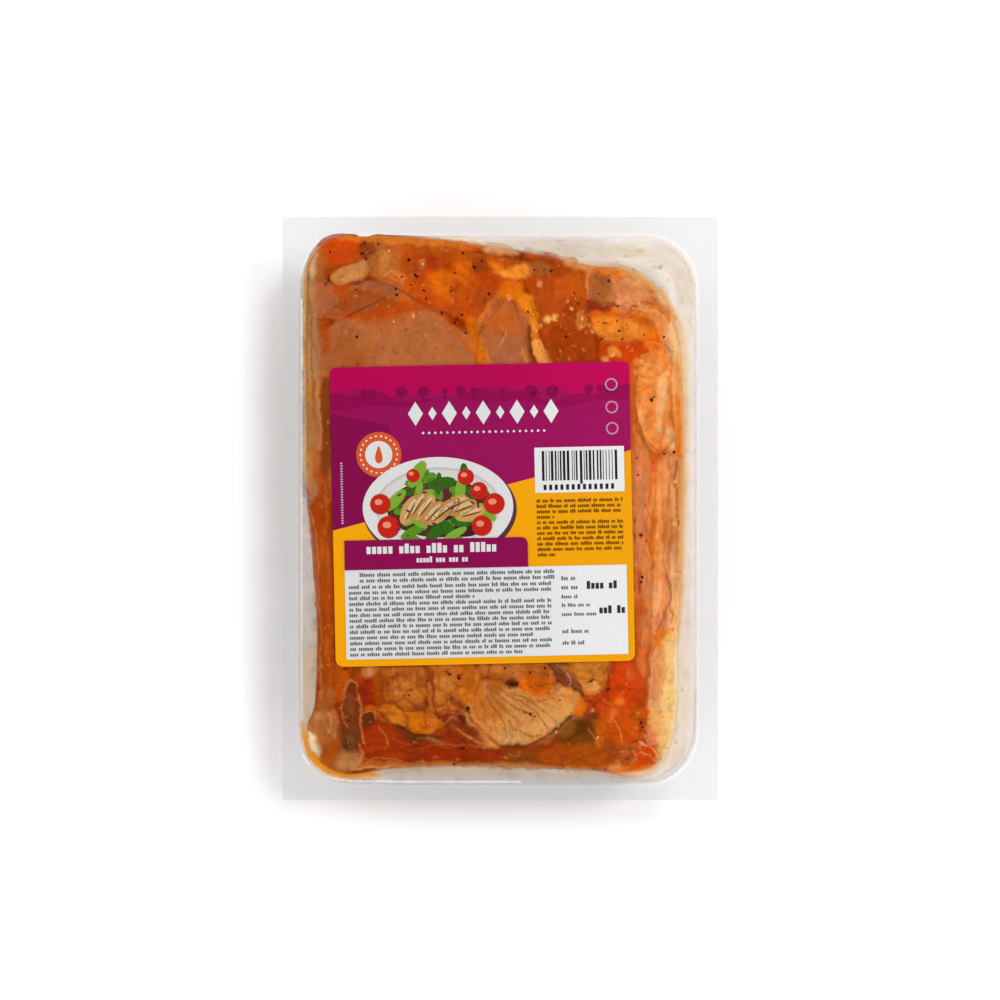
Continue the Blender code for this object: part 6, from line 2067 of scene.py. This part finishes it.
def ornament(prints):
    """Plain ornaments: lozenges with a dotted rule, rings, and a column of dashes."""
    middle, level = LOZENGE_AT
    for k in range(-4, 5):
        wide, tall = SMALL_LOZENGE if k % 2 else LARGE_LOZENGE
        u = middle + k * LOZENGE_PITCH
        prints.patch([(u, level - tall), (u + wide, level), (u, level + tall), (u - wide, level)], WHITE, 6)
    for k in range(-10, 11):
        prints.oval((middle + k * DOTS_PITCH, DOTS_LEVEL), (DOT_HALF, DOT_HALF), WHITE, 6, count=8)
    for v in RING_LEVELS:
        prints.oval((RINGS_U, v), (RING_HALF, RING_HALF), RING, 6, count=18)
        prints.oval((RINGS_U, v), (RING_HOLE, RING_HOLE), RING_INSIDE, 7, count=18)
    left, top, right, bottom = FIRST_DASH
    for k in range(DASHES):
        prints.box(left, top - k * DASH_PITCH, right, bottom - k * DASH_PITCH, RULE, 6)


BADGE_AT = (-33.8, 20.4)
BADGE_RADIUS = 7.5
BADGE_FACE = 4.5
BADGE_DOTS = 22
BADGE_DOTS_OUT = 6.1


def badge(prints):
    """A round badge with a plain drop."""
    prints.oval(BADGE_AT, (BADGE_RADIUS, BADGE_RADIUS), BADGE, 7, count=40)
    for k in range(BADGE_DOTS):
        angle = 2 * math.pi * k / BADGE_DOTS
        u = BADGE_AT[0] + BADGE_DOTS_OUT * math.cos(angle)
        v = BADGE_AT[1] + BADGE_DOTS_OUT * math.sin(angle)
        prints.oval((u, v), (0.45, 0.3), WHITE, 8, turn=math.degrees(angle) + 90, count=6)
    prints.oval(BADGE_AT, (BADGE_FACE, BADGE_FACE), WHITE, 8, count=32)
    t = np.linspace(0, 2 * math.pi, 26, endpoint=False)
    drop = np.column_stack([1.75 * np.sin(t) * (0.62 + 0.38 * np.cos(t - math.pi)), 2.9 * np.cos(t)])
    prints.patch(drop + np.array(BADGE_AT), BADGE, 9)


PLATE_AT = np.array((-14.6, 2.6))

# From the plate's shadow up to its sauces: place from its middle, half sizes, colour, layer, turn and points
PLATE_OVALS = (
    ((0.6, -1.0), (25.4, 17.0), mix(PLUM, GREY, 0.4) * 0.6, 7, 0, 60),
    ((0, 0), (24.9, 16.6), ink(236, 234, 232), 8, 0, 60),
    ((0, 0.3), (20.6, 12.9), ink(206, 202, 200), 9, 0, 60),
    ((0, 0.1), (20.0, 12.3), ink(226, 223, 219), 10, 0, 60),
    ((0.5, -0.4), (17.4, 9.6), ink(84, 52, 34), 10.5, 0, 40),
    ((-3.6, 4.6), (8.0, 4.6), ink(112, 34, 60), 10.7, 20, 24),
    ((5.0, -5.4), (9.0, 4.0), ink(78, 26, 50), 10.7, -16, 24),
)
LEAVES = 34
GREENS = (ink(96, 150, 34), ink(52, 108, 26), ink(134, 178, 54))
LEAVES_OUT = (19.5, 12.2)

# Slices of meat, with a light side and a dark line on each
SLICES = 9
SLICE_LIGHT = ink(214, 164, 96)
SLICE_DARK = ink(176, 116, 56)
SLICE_GLOW = ink(250, 226, 176)
SLICE_LINE = ink(120, 66, 30)

# Tomatoes: place from the plate's middle and radius
TOMATOES = (
    (-16.4, -6.2, 3.7), (-19.0, 1.4, 3.4), (14.4, -6.4, 3.4), (18.6, 0.8, 3.5), (13.6, 5.2, 2.9),
    (9.4, 9.8, 2.7), (-8.0, 10.6, 2.2),
)
TOMATO = ink(206, 38, 22)
TOMATO_GLINT = ink(248, 150, 120)
ONION_BITS = 14
ONION = ink(128, 30, 70)


def plate(prints):
    """A plate of food in plain shapes."""
    for offset, half, colour, layer, turn, count in PLATE_OVALS:
        prints.oval(PLATE_AT + offset, half, colour, layer, turn=turn, count=count)
    rng = np.random.default_rng(8)
    for k in range(LEAVES):
        angle = rng.uniform(0.1, 1.1) * math.pi if k % 2 else rng.uniform(1.05, 2.0) * math.pi
        far = rng.uniform(0.35, 1.0)
        spot = PLATE_AT + (LEAVES_OUT[0] * far * math.cos(angle), LEAVES_OUT[1] * far * math.sin(angle))
        half = (rng.uniform(2.8, 5.6), rng.uniform(1.1, 2.2))
        prints.oval(spot, half, GREENS[k % 3], 11 + k % 3, turn=rng.uniform(0, 180), count=12)
    for k in range(SLICES):
        spot = PLATE_AT + (-9.5 + 2.5 * k, 1.6 * math.sin(k * 1.3) - 0.8)
        colour = mix(SLICE_LIGHT, SLICE_DARK, 0.5 * (k % 2))
        turn = 62 - 6 * k
        prints.oval(spot, (5.2, 2.4), colour, 15 + k % 2, turn=turn, count=18)
        prints.oval(spot + (0.3, 0.5), (3.8, 0.9), mix(colour, SLICE_GLOW, 0.5), 16, turn=turn, count=12)
        prints.oval(spot + (0.4, -0.4), (3.6, 0.28), SLICE_LINE, 17, turn=turn, count=8)
    for du, dv, radius in TOMATOES:
        prints.oval(PLATE_AT + (du, dv), (radius, radius), TOMATO, 18, count=22)
        glint = (radius * 0.4, radius * 0.3)
        prints.oval(PLATE_AT + (du - 0.6, dv + 0.7), glint, TOMATO_GLINT, 19, count=10)
    for _ in range(ONION_BITS):
        spot = PLATE_AT + (rng.uniform(-15, 15), rng.uniform(-8, 8))
        prints.oval(spot, (0.9, 0.35), ONION, 18, turn=rng.uniform(0, 180), count=8)


# The white panel with upright bars: its sides, where the bars run, and their widths and gaps
BAR_PANEL = (17.6, 21.6, 47.2, 6.6)
BARS_FROM, BARS_TO, BARS_TOP = 20.0, 44.6, 20.4
BAR_LOW, BAR_LONG_LOW = 10.6, 9.4
BAR_WIDTHS = (0.33, 0.33, 0.66, 0.99)
BAR_GAPS = (0.33, 0.33, 0.66)
BAR_FEET, BAR_FOOT_PITCH = 13, 1.86
FIRST_BAR_FOOT = (20.4, 9.3, 21.4, 7.5)


def bar_panel(prints):
    """Upright bars of chance widths, with a row of small blocks below."""
    prints.box(*BAR_PANEL, WHITE, 7)
    rng = np.random.default_rng(2)
    u = BARS_FROM
    while u < BARS_TO:
        wide = float(rng.choice(BAR_WIDTHS))
        prints.box(u, BARS_TOP, u + 0.84 * wide, BAR_LOW if rng.random() < 0.9 else BAR_LONG_LOW, BAR, 8)
        u += wide + float(rng.choice(BAR_GAPS))
    left, top, right, bottom = FIRST_BAR_FOOT
    for k in range(BAR_FEET):
        prints.box(left + k * BAR_FOOT_PITCH, top, right + k * BAR_FOOT_PITCH, bottom, BAR_FOOT, 8)


# Rows of small print on the orange: first row's top, pitch, rows, the short ones and their share
BROWN_ROWS, BROWN_TOP, BROWN_PITCH = 11, 4.6, 1.78
BROWN_SHORT = {3: 0.2, 10: 0.2}

BANNER_OUTLINE = ((-45.8, -17.6), (14.8, -17.6), (14.8, -9.6), (14.0, -8.2), (12.6, -7.8), (-45.8, -7.8))
WHITE_PANEL = ((-45.9, -47.2), (47.3, -47.2), (47.3, -17.6), (-45.9, -17.6))

# Rows on the white panel: two that start further right, and the rest with some short ones
INSET_ROWS, INSET_TOP, INSET_PITCH = 2, -18.6, 1.9
GREY_ROWS, GREY_TOP, GREY_PITCH = 13, -22.6, 1.86
GREY_SHORT = {2: 0.62, 9: 0.9, 12: 0.86}

# The right column's rows: top, width and height
RIGHT_COLUMN_U = 25.6
RIGHT_COLUMN = (
    (-21.0, 5, 1.4), (-24.0, 6, 1.4), (-27.2, 6, 1.2), (-30.0, 10, 1.2), (-33.0, 12, 1.2), (-38.6, 9, 1.3),
    (-42.4, 8, 1.3),
)


def lower_fields(prints):
    """The bar panel, the small print, the banner and the white panel."""
    bar_panel(prints)
    for row in range(BROWN_ROWS):
        top = BROWN_TOP - row * BROWN_PITCH
        prints.words(18.0, top, 47.0, 1.15, BROWN, 7, 30 + row, 4.0, BROWN_SHORT.get(row, 1.0))
    prints.patch(BANNER_OUTLINE, BANNER, 20)
    prints.words(-38.5, -9.2, 6.0, 3.2, WHITE, 21, 70, 4.0)
    prints.words(-22.0, -13.6, -3.5, 1.9, WHITE, 21, 71, 3.0)
    prints.patch(WHITE_PANEL, WHITE, 6)
    for row in range(INSET_ROWS):
        prints.words(-41.0, INSET_TOP - row * INSET_PITCH, 24.0, 1.3, GREY, 8, 80 + row, 4.0)
    for row in range(GREY_ROWS):
        top = GREY_TOP - row * GREY_PITCH
        prints.words(-44.6, top, 22.8, 1.25, GREY, 8, 90 + row, 4.0, GREY_SHORT.get(row, 1.0))
    for row, (top, wide, tall) in enumerate(RIGHT_COLUMN):
        prints.words(RIGHT_COLUMN_U, top, RIGHT_COLUMN_U + wide, tall, GREY, 8, 120 + row, 3.0)
    prints.words(34.0, -22.8, 45.6, 2.6, BOLD, 8, 130, 3.0)
    prints.words(38.0, -31.0, 47.0, 2.6, BOLD, 8, 131, 3.0)


def build_label():
    """The label's sheet and its print."""
    label_base()
    prints = Print()
    upper_field(prints)
    ornament(prints)
    plate(prints)
    badge(prints)
    lower_fields(prints)
    prints.build("label_artwork_with_painted_shade")


build_label()

# Studio

FLOOR_HALF = 3.0
FLOOR_DROP = 0.0002
SUN_STRENGTH = 1.36
SUN_WIDTH = math.radians(13)
SUN_TOWARDS = (0.56, 0.38, 1.0)

# The sky is white, but dark in a small round zone overhead that the film would mirror to the camera
SKY_STRENGTH = 1.32
OVERHEAD_FROM, OVERHEAD_TO = 0.80, 0.95
OVERHEAD_LIGHT = 0.02

CAMERA_HEIGHT = 1.0
PHOTO_WIDTH = 1000
SENSOR_WIDTH = 36.0
LIGHT_BOUNCES = 24


def build_floor(scene):
    """A wide white floor just under the pack."""
    shape = bmesh.new()
    bmesh.ops.create_grid(shape, x_segments=1, y_segments=1, size=FLOOR_HALF)
    mesh = bpy.data.meshes.new("studio_floor")
    shape.to_mesh(mesh)
    shape.free()
    mesh.materials.append(floor_material())
    floor = bpy.data.objects.new("studio_floor", mesh)
    floor.location.z = -FLOOR_DROP
    scene.collection.objects.link(floor)


def build_lights(scene):
    """A soft sun from the upper right, and the sky."""
    sun_data = bpy.data.lights.new("key", "SUN")
    sun_data.energy = SUN_STRENGTH
    sun_data.angle = SUN_WIDTH
    sun = bpy.data.objects.new("key", sun_data)
    x, y, z = SUN_TOWARDS
    sun.rotation_euler = (math.atan2(math.hypot(x, y), z), 0.0, math.atan2(y, x) + math.pi / 2)
    scene.collection.objects.link(sun)

    world = bpy.data.worlds.new("studio")
    scene.world = world
    world.use_nodes = True
    nodes, links = world.node_tree.nodes, world.node_tree.links
    back = nodes["Background"]
    coord = nodes.new("ShaderNodeTexCoord")
    parts = nodes.new("ShaderNodeSeparateXYZ")
    ramp = nodes.new("ShaderNodeMapRange")
    for key, value in (("From Min", OVERHEAD_FROM), ("From Max", OVERHEAD_TO), ("To Min", 1.0),
                       ("To Max", OVERHEAD_LIGHT)):
        ramp.inputs[key].default_value = value
    links.new(coord.outputs["Generated"], parts.inputs["Vector"])
    links.new(parts.outputs["Z"], ramp.inputs["Value"])
    tint = nodes.new("ShaderNodeMix")
    tint.data_type = "RGBA"
    tint.inputs["A"].default_value = (0, 0, 0, 1)
    tint.inputs["B"].default_value = WHITE_LIGHT
    links.new(ramp.outputs["Result"], tint.inputs["Factor"])
    links.new(tint.outputs["Result"], back.inputs["Color"])
    back.inputs["Strength"].default_value = SKY_STRENGTH


def build_camera(scene):
    """A camera straight above that sees what the photograph shows."""
    camera_data = bpy.data.cameras.new("camera")
    camera = bpy.data.objects.new("camera", camera_data)
    middle = at(PHOTO_WIDTH / 2, PHOTO_WIDTH / 2)
    camera.location = (middle[0] * MM, middle[1] * MM, FLANGE_TOP * MM + CAMERA_HEIGHT)
    camera_data.sensor_width = SENSOR_WIDTH
    camera_data.lens = SENSOR_WIDTH * CAMERA_HEIGHT / (PHOTO_WIDTH * PHOTO_SCALE * MM)
    scene.collection.objects.link(camera)
    scene.camera = camera


def build_studio():
    """Floor, lights and camera, and how the picture is made."""
    scene = bpy.context.scene
    build_floor(scene)
    build_lights(scene)
    build_camera(scene)
    scene.view_settings.view_transform = "Standard"
    scene.cycles.transparent_max_bounces = LIGHT_BOUNCES


build_studio()
